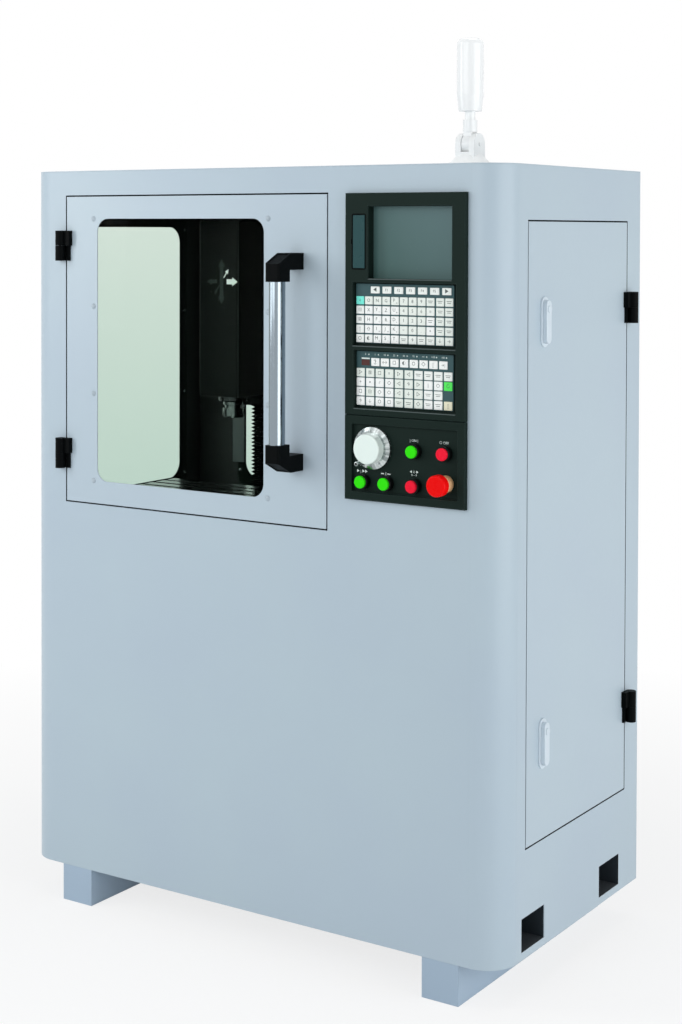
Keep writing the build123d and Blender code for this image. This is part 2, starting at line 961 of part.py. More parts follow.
def operator_panel():
    right = panel_left + panel_width
    top = panel_seam - panel_gap / 2
    frame = block(panel_left, right, -panel_proud, 0, panel_bottom, top)
    frame = chamfer(frame.faces().sort_by(Axis.Y)[0].edges(), 1.5)
    frame += block(
        panel_left + panel_inset + running_clearance, right - panel_inset - running_clearance,
        -1, skin + 1, panel_bottom + panel_inset + running_clearance, panel_seam - panel_inset - running_clearance,
    )
    recess = (
        panel_left + operator_margin, panel_bottom + operator_margin,
        panel_width - 2 * operator_margin, top - panel_bottom - 2 * operator_margin,
    )
    frame -= pocket_y(*recess, -panel_proud - 1, operator_face)
    frame -= pocket_rim(*recess)
    for x, z in button_spots.values():
        frame -= rod_y(x, -panel_proud - 1, z, button_body_radius + running_clearance, 20)
    x, z = estop_centre
    frame -= rod_y(x, -panel_proud - 1, z, button_body_radius + running_clearance, 20)
    x, z = wheel_centre
    frame -= rod_y(x, -panel_proud - 1, z, wheel_shaft_radius + running_clearance, 20)
    return frame


def button_bezels():
    bezels = []
    for x, z in button_spots.values():
        front = operator_face - button_bezel_height
        ring = rod_y(x, front, z, button_radius + button_bezel_wall, button_bezel_height)
        ring = chamfer(ring.faces().sort_by(Axis.Y)[0].edges(), 1.5)
        ring += rod_y(x, operator_face, z, button_body_radius, skin + 8)
        back = skin + 5
        half = button_block / 2
        ring += block(x - half, x + half, back, back + button_block_depth, z - half, z + half)
        floor = front + button_bezel_height - 4
        ring -= rod_y(x, front - 1, z, button_radius + 0.1, floor - front + 1)
        ring -= rod_y(x, front, z, button_stem_radius + 0.1, button_bezel_height + button_travel + 8)
        bezels.append(ring)
    return Compound(children=bezels)


def push_button(name):
    x, z = button_spots[name]
    front = operator_face - button_bezel_height - button_proud
    floor = operator_face - 4
    cap = rod_y(x, front, z, button_radius, floor - button_travel - 0.3 - front)
    cap = fillet(cap.faces().sort_by(Axis.Y)[0].edges(), 2)
    cap += rod_y(x, front + 4, z, button_stem_radius, floor - front)
    return cap


def estop_collar():
    x, z = estop_centre
    front = operator_face - estop_collar_height
    collar = rod_y(x, front, z, estop_collar_radius, estop_collar_height)
    collar = chamfer(collar.faces().sort_by(Axis.Y)[0].edges(), 2)
    collar += rod_y(x, operator_face, z, button_body_radius, skin + 8)
    back = skin + 5
    half = button_block / 2
    collar += block(x - half, x + half, back, back + button_block_depth, z - half, z + half)
    depth = estop_collar_height + estop_travel + 8
    collar -= rod_y(x, front - 1, z, estop_stem_radius + 0.1, depth + 1)
    return collar


def estop_stem():
    """The plunger that the mushroom head pushes in, with a neck that shows behind the head."""
    x, z = estop_centre
    neck_front = operator_face - estop_collar_height - estop_gap
    neck = rod_y(x, neck_front, z, estop_neck_radius, estop_gap - estop_travel - 0.5)
    neck += rod_y(x, neck_front - 8, z, estop_stem_radius, estop_gap + estop_collar_height + 8)
    return neck


def estop_head():
    x, z = estop_centre
    back = operator_face - estop_collar_height - estop_gap - face_clearance
    front = back - estop_head_height
    head = rod_y(x, front, z, estop_head_radius, estop_head_height)
    head = fillet(head.faces().sort_by(Axis.Y)[0].edges(), 4)
    head -= rod_y(x, back - 8 - running_clearance, z, estop_stem_radius + running_clearance, 10)
    return head


def handwheel():
    """Graduated skirt, knob and shaft of the manual pulse wheel."""
    x, z = wheel_centre
    back = operator_face - face_clearance
    skirt = rod_y(x, back - wheel_skirt_height, z, wheel_skirt_radius, wheel_skirt_height)
    skirt = chamfer(skirt.faces().sort_by(Axis.Y)[0].edges(), 4, 7)
    knob = rod_y(x, back - wheel_height, z, wheel_cap_radius, wheel_height - 1)
    knob = fillet(knob.faces().sort_by(Axis.Y)[0].edges(), 3)
    wheel = skirt + knob + rod_y(x, back - 1, z, wheel_shaft_radius, 30)
    marks = []
    for index in range(wheel_graduations):
        angle = 360 * index / wheel_graduations
        notch = block(-0.4, 0.4, back - 1.6 - wheel_skirt_height, back - 2, wheel_skirt_radius - 0.5, 60)
        marks.append(Pos(x, 0, z) * Rot(0, angle, 0) * notch)
    wheel = wheel.cut(*marks)
    pin_x, pin_z = crank_spot()
    wheel += rod_y(pin_x, back - wheel_skirt_height - 10, pin_z, crank_pin_radius, 12)
    return wheel


def crank_spot():
    x, z = wheel_centre
    angle = radians(crank_angle)
    radius = wheel_cap_radius + crank_gap + crank_knob_radius
    return x + radius * cos(angle), z + radius * sin(angle)


def crank_knob():
    """The finger knob that turns freely on the pin near the wheel's rim."""
    x, z = crank_spot()
    face = operator_face - face_clearance - wheel_skirt_height - 0.3
    knob = rod_y(x, face - crank_knob_height, z, crank_knob_radius, crank_knob_height)
    knob = fillet(knob.faces().sort_by(Axis.Y)[0].edges(), 1.5)
    knob -= rod_y(x, face - 11, z, crank_pin_radius + running_clearance, 12)
    return knob


# Signal lamp on the roof

def lamp_base():
    base = rod(lamp_x, lamp_y, skin_top, lamp_flange_radius, lamp_flange_height)
    base = chamfer(base.faces().sort_by(Axis.Z)[-1].edges(), 3)
    cone = Cone(lamp_flange_radius - 4, lamp_fork_width * 0.75, lamp_cone_height, align=(
        Align.CENTER, Align.CENTER, Align.MIN))
    base += Pos(lamp_x, lamp_y, skin_top + lamp_flange_height) * cone
    pivot = skin_top + lamp_pivot_height
    fork_bottom = skin_top + lamp_flange_height + 2
    half = lamp_fork_width / 2 + 6
    cheeks = rod_x(lamp_x - half, lamp_y, pivot, lamp_joint_radius, 2 * half)
    cheeks += block(
        lamp_x - half, lamp_x + half, lamp_y - lamp_joint_radius, lamp_y + lamp_joint_radius,
        fork_bottom, pivot,
    )
    base += cheeks
    gap = lamp_fork_gap / 2 + face_clearance
    base -= rod_x(lamp_x - gap, lamp_y, pivot, lamp_joint_radius + 1.5, 2 * gap)
    base -= block(
        lamp_x - gap, lamp_x + gap, lamp_y - lamp_joint_radius - 20, lamp_y + lamp_joint_radius + 20,
        pivot - lamp_neck_radius - 1, pivot + 60,
    )
    base += rod_x(lamp_x - half, lamp_y, pivot, lamp_pin_radius, 2 * half + 2)
    return base


def lamp_body():
    """Tongue, neck, stalk and diffuser. It folds back about the pin in the base."""
    pivot = skin_top + lamp_pivot_height
    half = lamp_fork_gap / 2
    tongue = rod_x(lamp_x - half, lamp_y, pivot, lamp_joint_radius - 2, 2 * half)
    neck_bottom = pivot + lamp_joint_radius + 2
    tongue += block(lamp_x - half, lamp_x + half, lamp_y - 12, lamp_y + 12, pivot, neck_bottom + 1)
    tongue -= rod_x(lamp_x - half - 1, lamp_y, pivot, lamp_pin_radius + running_clearance, 2 * half + 2)
    body = tongue + rod(lamp_x, lamp_y, neck_bottom, lamp_neck_radius, lamp_neck_height)
    stalk_bottom = neck_bottom + lamp_neck_height
    body += rod(lamp_x, lamp_y, stalk_bottom, lamp_stalk_radius, lamp_stalk_height)
    tube_bottom = stalk_bottom + lamp_stalk_height
    tube_top = tube_bottom + lamp_body_height
    radius = lamp_body_radius
    outline = Wire([
        Line((0, 0), (radius - lamp_taper, 0)),
        Line((radius - lamp_taper, 0), (radius, 32)),
        Line((radius, 32), (radius, lamp_body_height - 12)),
        RadiusArc((radius, lamp_body_height - 12), (radius - 12, lamp_body_height), -12),
        Line((radius - 12, lamp_body_height), (0, lamp_body_height)),
        Line((0, lamp_body_height), (0, 0)),
    ])
    shell = Pos(lamp_x, lamp_y, tube_bottom) * revolve(Plane.XZ * make_face(outline), Axis.Z, 360)
    hollow = rod(
        lamp_x, lamp_y, tube_bottom + 4, radius - lamp_taper - lamp_wall,
        tube_top - tube_bottom - 4 - 12,
    )
    return body + (shell - hollow)


# Stand, chip tray and castings

def tube_top():
    return pocket_bottom + pocket_height + pocket_wall


def pedestal():
    left = spindle_x - bed_width / 2 - 20
    right = spindle_x + bed_width / 2 + 20
    back = column_front + column_depth + 4
    front = bed_front - 10
    stand = block(left, right, front, back, tube_top(), tray_height)
    stand -= block(
        left + stand_wall, right - stand_wall, front + stand_wall, back - stand_wall,
        tube_top() - 1, tray_height - 2 * stand_wall,
    )
    return stand


def chip_tray():
    inset = skin + tray_margin
    x1 = chamber_width - tray_margin
    y1 = cabinet_depth - skin - pane_thickness - tray_margin
    tray = Pos(0, 0, tray_height) * extrude(floor_plan(inset), amount=tray_rim)
    tray &= block(0, x1, 0, y1, tray_height, tray_height + tray_rim)
    hollow = Pos(0, 0, bed_bottom()) * extrude(floor_plan(inset + tray_wall), amount=tray_rim)
    hollow &= block(0, x1 - tray_wall, 0, y1 - tray_wall, bed_bottom(), skin_top)
    return tray - hollow


def bed_bottom():
    return tray_height + tray_wall


def bed_top():
    return bed_bottom() + bed_height


def dovetail_y(way, x, y0, y1, z0, height, clearance):
    """A dovetail that runs along Y, narrow at z0 and wide at its crown."""
    foot, crown = dovetail_half(way, height)
    points = [
        (x - foot - clearance, z0),
        (x + foot + clearance, z0),
        (x + crown + clearance, z0 + height),
        (x - crown - clearance, z0 + height),
    ]
    return profile_y(points, y0, y1)


def dovetail_x(way, y, x0, x1, z0, height, clearance):
    """A dovetail that runs along X, narrow at z0 and wide at its crown."""
    foot, crown = dovetail_half(way, height)
    points = [
        (y - foot - clearance, z0),
        (y + foot + clearance, z0),
        (y + crown + clearance, z0 + height),
        (y - crown - clearance, z0 + height),
    ]
    return profile_x(points, x0, x1)


def dovetail_z(way, x, z0, z1, face, height, clearance):
    """A dovetail that runs along Z and stands out of a face towards -Y."""
    foot, crown = dovetail_half(way, height)
    points = [
        (x - foot - clearance, face),
        (x + foot + clearance, face),
        (x + crown + clearance, face - height),
        (x - crown - clearance, face - height),
    ]
    return profile_z(points, z0, z1)


def y_screw_z():
    return bed_top() - screw_drop + 14


def bed_back():
    return column_front + column_depth


def bed():
    """The base casting: hollow below with cross ribs, with the Y way on its crown."""
    left = spindle_x - bed_width / 2
    right = spindle_x + bed_width / 2
    casting = block(left, right, bed_front, bed_back(), bed_bottom(), bed_top())
    way_back = column_front - 2
    casting += dovetail_y(y_way, spindle_x, bed_front, way_back, bed_top(), dovetail_height, 0)
    floor = bed_top() - channel_depth - bed_wall
    bay = (bed_back() - bed_front - 4 * bed_wall) / 3
    for index in range(3):
        start = bed_front + bed_wall + index * (bay + bed_wall)
        casting -= block(left + bed_wall, right - bed_wall, start, start + bay, bed_bottom() - 1, floor)
    half = channel_width / 2
    casting -= block(
        spindle_x - half, spindle_x + half, bed_front + end_wall, way_back - end_wall,
        bed_top() - channel_depth, bed_top() + dovetail_height + 1,
    )
    journal = screw_journal_radius + running_clearance
    casting -= rod_y(spindle_x, bed_front - 1, y_screw_z(), journal, end_wall + 2)
    casting -= rod_y(spindle_x, way_back - end_wall - 1, y_screw_z(), journal, end_wall / 2 + 1)
    return casting


def nut_width():
    return channel_width - 2 * nut_side_gap


def saddle_front():
    return spindle_y - saddle_width / 2


def saddle_top():
    return bed_top() + saddle_height


def x_screw_z():
    return saddle_top() - screw_drop


def saddle():
    """Cross slide casting: Y way below, X way above, with a channel for the X screw."""
    left = spindle_x - saddle_length / 2
    right = spindle_x + saddle_length / 2
    bottom = bed_top() + slide_clearance
    front = saddle_front()
    back = front + saddle_width
    casting = block(left, right, front, back, bottom, saddle_top())
    casting += dovetail_x(x_way, spindle_y, left, right, saddle_top(), dovetail_height, 0)
    casting -= dovetail_y(
        y_way, spindle_x, front - 1, back + 1, bed_top(), dovetail_height + slide_clearance, slide_clearance,
    )
    casting -= block(
        left + end_wall, right - end_wall, spindle_y - channel_width / 2, spindle_y + channel_width / 2,
        saddle_top() - channel_depth, saddle_top() + dovetail_height + 1,
    )
    journal = screw_journal_radius + running_clearance
    casting -= rod_x(right - end_wall - 1, spindle_y, x_screw_z(), journal, end_wall + 2)
    casting -= rod_x(left + end_wall / 2, spindle_y, x_screw_z(), journal, end_wall / 2 + 1)
    half = nut_width() / 2
    nut = block(
        spindle_x - half, spindle_x + half, spindle_y - nut_length / 2, spindle_y + nut_length / 2,
        y_screw_z() - half, bed_top() + dovetail_height + 4,
    )
    nut -= rod_y(spindle_x, spindle_y - nut_length, y_screw_z(), screw_radius + running_clearance, 2 * nut_length)
    return casting + nut


def ball_screw(length, journal_start, journal_end):
    """A ball screw along +Z from the origin: plain journals at both ends and the threaded length between."""
    screw = rod(0, 0, 0, screw_radius, length)
    screw = chamfer(screw.edges().filter_by(GeomType.CIRCLE), 1)
    screw += rod(0, 0, -journal_start, screw_journal_radius, journal_start + 1)
    screw += rod(0, 0, length - 1, screw_journal_radius, journal_end + 1)
    return screw


def x_screw():
    left = spindle_x - saddle_length / 2 + end_wall + face_clearance
    length = saddle_length - 2 * end_wall - 2 * face_clearance
    place = Pos(left, spindle_y, x_screw_z()) * Rot(0, 90, 0)
    return place * ball_screw(length, end_wall / 2 - face_clearance, end_wall + motor_flange + 12)


def y_screw():
    front = bed_front + end_wall + face_clearance
    back = column_front - 2 - end_wall - face_clearance
    place = Pos(spindle_x, back, y_screw_z()) * Rot(90, 0, 0)
    return place * ball_screw(back - front, end_wall / 2 - face_clearance, end_wall + motor_flange + 12)


def motor(size, length, bore):
    """A servo motor along +Z: square flange, round-cornered body and a connector box, bored for the screw."""
    body = extrude(RectangleRounded(size, size, size * 0.12), amount=motor_flange)
    trim = size * 0.94
    body += Pos(0, 0, motor_flange) * extrude(RectangleRounded(trim, trim, size * 0.16), amount=length - motor_flange)
    body -= Pos(0, 0, -1) * Cylinder(bore + running_clearance, motor_flange + 16, align=(
        Align.CENTER, Align.CENTER, Align.MIN))
    return body


def x_motor():
    right = spindle_x + saddle_length / 2
    return Pos(right, spindle_y, x_screw_z()) * Rot(0, 90, 0) * motor(motor_size, motor_length, screw_journal_radius)


def axis_motors():
    y_drive = Pos(spindle_x, bed_front, y_screw_z()) * Rot(90, 0, 0)
    y_drive = y_drive * motor(motor_size, bed_front - rebate_depth - 10, screw_journal_radius)
    top = bed_top() + column_height
    z_drive = Pos(spindle_x, z_screw_y(), top) * motor(z_motor_size, z_motor_length, screw_journal_radius)
    return Compound(children=[y_drive, z_drive])


def table_top():
    return saddle_top() + table_thickness


def table():
    """T-slotted table with the X way cut in its underside and the screw nut hanging in the saddle's channel."""
    left = spindle_x - table_length / 2
    right = spindle_x + table_length / 2
    front = spindle_y - table_width / 2
    plate = block(left, right, front, front + table_width, saddle_top() + slide_clearance, table_top())
    plate -= dovetail_x(
        x_way, spindle_y, left - 1, right + 1, saddle_top(), dovetail_height + slide_clearance, slide_clearance,
    )
    for index in (-1, 0, 1):
        y = spindle_y + index * slot_pitch
        foot_top = table_top() - slot_depth
        plate -= block(left - 1, right + 1, y - slot_width / 2, y + slot_width / 2, foot_top - 1, table_top() + 1)
        plate -= block(
            left - 1, right + 1, y - slot_foot_width / 2, y + slot_foot_width / 2,
            foot_top - slot_foot_depth, foot_top,
        )
    half = nut_width() / 2
    nut = block(
        spindle_x - nut_length / 2, spindle_x + nut_length / 2, spindle_y - half, spindle_y + half,
        x_screw_z() - half, saddle_top() + dovetail_height + 4,
    )
    nut -= rod_x(spindle_x - nut_length, spindle_y, x_screw_z(), screw_radius + running_clearance, 2 * nut_length)
    return plate + nut


def z_screw_y():
    return column_front + z_screw_depth


def column_top():
    return bed_top() + column_height


def column():
    """Upright casting: open at the back between shelves, with the Z way and the screw channel in front."""
    left = spindle_x - column_width / 2
    right = spindle_x + column_width / 2
    back = column_front + column_depth
    casting = block(left, right, column_front, back, bed_top(), column_top())
    casting += dovetail_z(
        z_way, spindle_x, z_channel_bottom - 20, column_top() - 10, column_front, dovetail_height, 0,
    )
    half = channel_width / 2
    channel_back = column_front + z_channel_depth
    casting -= block(
        spindle_x - half, spindle_x + half, column_front - dovetail_height - 1, channel_back,
        z_channel_bottom, z_channel_top,
    )
    bay = (column_height - (column_shelves + 1) * column_wall) / column_shelves
    for index in range(column_shelves):
        start = bed_top() + column_wall + index * (bay + column_wall)
        casting -= block(
            left + column_wall, right - column_wall, channel_back + column_wall, back + 1, start, start + bay,
        )
    journal = screw_journal_radius + running_clearance
    casting -= rod(spindle_x, z_screw_y(), z_channel_top - 1, journal, column_top() - z_channel_top + 2)
    casting -= rod(spindle_x, z_screw_y(), z_channel_bottom - 8, journal, 9)
    return casting


def z_screw():
    start = z_channel_bottom + face_clearance
    length = z_channel_top - z_channel_bottom - 2 * face_clearance
    drive = column_top() - z_channel_top + motor_flange + 12
    return Pos(spindle_x, z_screw_y(), start) * ball_screw(length, 7, drive)


def head():
    """Spindle head casting: a carriage on the Z way, an arm with the spindle bore, and the screw nut behind."""
    left = spindle_x - column_width / 2
    right = spindle_x + column_width / 2
    carriage_front = column_front - carriage_thickness
    carriage_bottom = head_bottom + 8
    carriage = block(
        left, right, carriage_front, column_front - slide_clearance,
        carriage_bottom, carriage_bottom + carriage_height,
    )
    carriage -= dovetail_z(
        z_way, spindle_x, carriage_bottom - 1, carriage_bottom + carriage_height + 1,
        column_front, dovetail_height + slide_clearance, slide_clearance,
    )
    arm = block(
        spindle_x - arm_width / 2, spindle_x + arm_width / 2, arm_front, carriage_front + 1,
        head_bottom, head_bottom + arm_height,
    )
    arm = fillet(arm.edges().filter_by(Axis.Z).sort_by(Axis.Y)[:2], 12)
    gusset = [
        (carriage_front, head_bottom + arm_height),
        (carriage_front, carriage_bottom + carriage_height - 10),
        (carriage_front - 50, head_bottom + arm_height),
    ]
    casting = carriage + arm + profile_x(gusset, spindle_x - 8, spindle_x + 8)
    casting -= rod(spindle_x, spindle_y, head_bottom - 1, spindle_bore_radius, arm_height - 9)
    casting -= rod(
        spindle_x, spindle_y, head_bottom, spindle_drive_radius + running_clearance, arm_height + 1,
    )
    nut_z = carriage_bottom + carriage_height / 2
    half = nut_width() / 2
    nut = block(
        spindle_x - half, spindle_x + half, column_front - dovetail_height - 4, z_screw_y() + half + 3,
        nut_z - nut_length / 2, nut_z + nut_length / 2,
    )
    nut -= rod(spindle_x, z_screw_y(), nut_z - nut_length, screw_radius + running_clearance, 2 * nut_length)
    return casting + nut


def head_cover():
    """Folded sheet cover round the arm and the spindle motor, open below and at the back."""
    half = spindle_motor_size / 2 + cover_gap + cover_wall
    left = spindle_x - half
    right = spindle_x + half
    back = column_front - carriage_thickness - face_clearance
    cover = block(left, right, cover_front, back, head_bottom, cover_top)
    cover = fillet(cover.edges().filter_by(Axis.Z).sort_by(Axis.Y)[:2], cover_corner)
    cover -= block(
        left + cover_wall, right - cover_wall, cover_front + cover_wall, back + 1,
        head_bottom - 1, cover_top - cover_wall,
    )
    for side in (left + cover_wall, spindle_x + arm_width / 2):
        width = half - cover_wall - arm_width / 2
        cover += block(side, side + width, back - 60, back - 20, head_bottom + 60, head_bottom + 90)
    return cover


def spindle_motor():
    bottom = head_bottom + arm_height
    half = spindle_motor_size / 2
    body = extrude(RectangleRounded(2 * half, 2 * half, 10), amount=spindle_motor_height)
    body -= Pos(0, 0, -1) * Cylinder(spindle_drive_radius + running_clearance, spindle_drive_length + 2, align=(
        Align.CENTER, Align.CENTER, Align.MIN))
    return Pos(spindle_x, spindle_y, bottom) * body


def spindle():
    """The turning spindle: nose disc, body in the bore, taper socket and the drive end up into the motor."""
    nose_bottom = head_bottom - face_clearance - spindle_nose_height
    body = rod(spindle_x, spindle_y, nose_bottom, spindle_nose_radius, spindle_nose_height)
    body = chamfer(body.faces().sort_by(Axis.Z)[0].edges(), 2)
    shaft_top = head_bottom + arm_height - 10 - face_clearance
    body += rod(spindle_x, spindle_y, nose_bottom + 1, spindle_shaft_radius, shaft_top - nose_bottom - 1)
    drive_top = head_bottom + arm_height + spindle_drive_length
    body += rod(spindle_x, spindle_y, shaft_top - 1, spindle_drive_radius, drive_top - shaft_top + 1)
    socket = Cone(taper_bottom_radius + taper_clearance, taper_top_radius + taper_clearance, taper_length + 1, align=(
        Align.CENTER, Align.CENTER, Align.MIN))
    body -= Pos(spindle_x, spindle_y, nose_bottom) * socket
    return body


def tool_holder():
    """Collet chuck: taper shank in the spindle, flange, body and a slotted clamping nut."""
    top = head_bottom - face_clearance - spindle_nose_height
    shank = Cone(taper_bottom_radius, taper_top_radius, taper_length, align=(Align.CENTER, Align.CENTER, Align.MIN))
    holder = Pos(spindle_x, spindle_y, top) * shank
    flange_bottom = top - holder_flange_height
    flange = rod(spindle_x, spindle_y, flange_bottom, holder_flange_radius, holder_flange_height)
    holder += chamfer(flange.edges().filter_by(GeomType.CIRCLE), 1.5)
    body_bottom = flange_bottom - holder_body_height
    holder += rod(spindle_x, spindle_y, body_bottom, holder_body_radius, holder_body_height)
    nut_bottom = body_bottom - holder_nut_height
    nut = rod(spindle_x, spindle_y, nut_bottom, holder_nut_radius, holder_nut_height)
    nut = chamfer(nut.faces().sort_by(Axis.Z)[0].edges(), 4, 3)
    slots = []
    for index in range(holder_slots):
        slot = block(holder_nut_radius - 4, holder_nut_radius + 4, -3, 3, nut_bottom - 1, nut_bottom + 13)
        slots.append(Pos(spindle_x, spindle_y, 0) * Rot(0, 0, 360 * index / holder_slots) * slot)
    holder += nut.cut(*slots)
    holder -= rod(spindle_x, spindle_y, nut_bottom - 1, holder_bore_radius, holder_nut_height + 10)
    return holder


def z_bellows():
    """Pleated cover of the Z way between the column foot and the head. Its pleats show on three sides."""
    bottom = bed_top() + dovetail_height
    top = head_bottom + 8 - face_clearance
    count = round((top - bottom) / bellows_pitch)
    pitch = (top - bottom) / count
    left = spindle_x - bellows_width / 2
    right = spindle_x + bellows_width / 2
    sides = [(left + bellows_fold, bottom)]
    front = [(bellows_front + bellows_fold, bottom)]
    for index in range(count):
        middle = bottom + (index + 0.5) * pitch
        end = bottom + (index + 1) * pitch
        sides += [(left, middle), (left + bellows_fold, end)]
        front += [(bellows_front, middle), (bellows_front + bellows_fold, end)]
    mirrored = [(2 * spindle_x - x, z) for x, z in reversed(sides)]
    back = column_front - face_clearance
    wide = profile_y(sides + mirrored, bellows_front, back)
    deep = profile_x(front + [(back, top), (back, bottom)], left, right)
    cavity_half = z_way / 2 + bellows_clearance
    cavity_front = column_front - dovetail_height - bellows_clearance
    cavity = block(
        spindle_x - cavity_half, spindle_x + cavity_half, cavity_front, back + 1, bottom - 1, top + 1,
    )
    return (wide & deep) - cavity


# Electrical gear on the dry side of the partition

def electrical_gear():
    face = partition_x
    pieces = []
    for index in range(drive_count):
        front = gear_front + index * drive_pitch
        drive = block(face, face + drive_depth, front, front + drive_width, drive_row, drive_row + drive_height)
        fins = []
        for fin in range(7):
            z = drive_row + 20 + fin * 22
            fins.append(block(face + drive_depth - 12, face + drive_depth + 1, front + 8, front + drive_width - 8, z, z + 8))
        pieces.append(drive.cut(*fins))
    depth, width, height = transformer_size
    low = tube_top() + 40
    core = block(face, face + depth, gear_front, gear_front + width, low, low + height)
    core -= block(face + 20, face + depth + 1, gear_front + 24, gear_front + width - 24, low + 24, low + height - 24)
    core += block(face, face + depth - 8, gear_front + 30, gear_front + width - 30, low + 10, low + height - 10)
    pieces.append(core)
    rail = block(face, face + 8, gear_front, gear_front + rail_length, rail_row, rail_row + 35)
    pieces.append(rail)
    for index in range(breaker_count):
        front = gear_front + 10 + index * breaker_pitch
        breaker = block(face + 8, face + 68, front, front + breaker_pitch - 2, rail_row - 24, rail_row + 60)
        breaker -= block(face + 54, face + 69, front - 1, front + breaker_pitch, rail_row + 34, rail_row + 61)
        breaker -= block(face + 54, face + 69, front - 1, front + breaker_pitch, rail_row - 25, rail_row + 2)
        pieces.append(breaker)
    return Compound(children=pieces)


def main():
    os.makedirs("parts", exist_ok=True)
    save("foot_rails", foot_rails())
    save("base_pan", base_pan())
    save("fork_tubes", fork_tubes())
    save("front_shell", front_shell())
    save("left_panel", left_panel())
    save("right_panel", right_panel())
    save("rear_panel", rear_panel())
    save("top_panel", top_panel())
    save("partition", partition())
    save("door_rebates", door_rebates())
    save("door_seals", door_seals())
    save("side_windows", side_windows())
    save("front_door", front_door())
    save("door_window", door_window())
    save("door_screws", door_screws())
    save("handle_brackets", handle_brackets())
    save("handle_tube", handle_tube())
    save("frame_hinges", frame_hinges())
    save("front_door_hinges", front_door_hinges())
    save("side_door_hinges", side_door_hinges())
    save("side_door", side_door())
    save("latch_plates", latch_plates())
    save("lower_latch", latch_lever(latch_heights[0]))
    save("upper_latch", latch_lever(latch_heights[1]))
    save("panel_frame", panel_frame())
    save("port_cover", port_cover())
    save("screen", screen())
    save("keypads", keypads())
    save("operator_panel", operator_panel())
    save("button_bezels", button_bezels())
    for name in button_spots:
        save(name, push_button(name))
    save("estop_collar", estop_collar())
    save("estop_stem", estop_stem())
    save("estop_head", estop_head())
    save("handwheel", handwheel())
    save("crank_knob", crank_knob())
    save("lamp_base", lamp_base())
    save("lamp_body", lamp_body())
    save("pedestal", pedestal())
    save("chip_tray", chip_tray())
    save("bed", bed())
    save("saddle", saddle())
    save("x_screw", x_screw())
    save("y_screw", y_screw())
    save("x_motor", x_motor())
    save("axis_motors", axis_motors())
    save("table", table())
    save("column", column())
    save("z_screw", z_screw())
    save("head", head())
    save("head_cover", head_cover())
    save("spindle_motor", spindle_motor())
    save("spindle", spindle())
    save("tool_holder", tool_holder())
    save("z_bellows", z_bellows())
    save("electrical_gear", electrical_gear())


main()
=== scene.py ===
import bmesh
import bpy
import math
import numpy as np
from mathutils import Matrix, Vector


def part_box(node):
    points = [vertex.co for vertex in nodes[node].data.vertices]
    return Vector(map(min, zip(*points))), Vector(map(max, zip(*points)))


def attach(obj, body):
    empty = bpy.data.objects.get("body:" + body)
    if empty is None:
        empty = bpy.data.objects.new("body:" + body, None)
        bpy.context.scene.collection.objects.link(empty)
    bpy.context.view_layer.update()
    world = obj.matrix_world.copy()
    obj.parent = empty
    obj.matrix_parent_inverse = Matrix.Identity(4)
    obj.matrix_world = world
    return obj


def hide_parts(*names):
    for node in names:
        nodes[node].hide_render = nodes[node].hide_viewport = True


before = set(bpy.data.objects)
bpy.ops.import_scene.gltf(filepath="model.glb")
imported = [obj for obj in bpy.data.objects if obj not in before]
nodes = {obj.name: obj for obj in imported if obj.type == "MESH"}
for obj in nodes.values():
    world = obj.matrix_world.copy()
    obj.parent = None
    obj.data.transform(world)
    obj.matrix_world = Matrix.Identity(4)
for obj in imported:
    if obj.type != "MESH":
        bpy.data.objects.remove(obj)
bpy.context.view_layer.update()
corner = Vector((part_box("left_panel")[0].x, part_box("front_shell")[0].y, 0.0))  # the cabinet's front left corner
mm = 0.001
print("frame loaded:", len(nodes), "nodes")


def place(x, y, z):  # millimetres from the cabinet's front left corner, at floor level
    return corner + Vector((x, y, z)) * mm


# camera and light come first

shot = {"position": (2750.7, -2925.8, 1461.5), "turn": 33.374, "down": 1.164, "roll": 0.152,
        "lens": 63.20, "shift": -0.2393}
camera = bpy.data.objects.new("camera", bpy.data.cameras.new("camera"))
bpy.context.scene.collection.objects.link(camera)
camera.data.lens = shot["lens"]
camera.data.sensor_width = 36
camera.data.shift_y = shot["shift"]
camera.data.clip_start = 0.05
camera.data.clip_end = 200
turn, down, roll = (math.radians(shot[key]) for key in ("turn", "down", "roll"))
camera.matrix_world = (Matrix.Translation(place(*shot["position"])) @ Matrix.Rotation(turn, 4, "Z")
                       @ Matrix.Rotation(math.pi / 2 - down, 4, "X") @ Matrix.Rotation(roll, 4, "Z"))
bpy.context.scene.camera = camera


def addNode(tree, kind, **values):  # a node with its settings, or the inputs of those names, filled in
    node = tree.nodes.new(kind)
    for key, value in values.items():
        if hasattr(node, key):
            setattr(node, key, value)
        else:
            node.inputs[key].default_value = value
    return node


def link(tree, source, target):
    tree.links.new(source, target)


def blended(tree, factor, first, second, mode="MIX"):  # colours or sockets mixed by a socket or a number
    node = addNode(tree, "ShaderNodeMix", data_type="RGBA", blend_type=mode)
    for slot, value in ((0, factor), (6, first), (7, second)):
        if isinstance(value, bpy.types.NodeSocket):
            link(tree, value, node.inputs[slot])
        elif slot:
            node.inputs[slot].default_value = (*value[:3], 1)
        else:
            node.inputs[slot].default_value = value
    return node.outputs[2]


def ranged(tree, value, low, high, fromLow=0.0, fromHigh=1.0):
    node = addNode(tree, "ShaderNodeMapRange")
    node.inputs["From Min"].default_value = fromLow
    node.inputs["From Max"].default_value = fromHigh
    node.inputs["To Min"].default_value = low
    node.inputs["To Max"].default_value = high
    link(tree, value, node.inputs["Value"])
    return node.outputs[0]


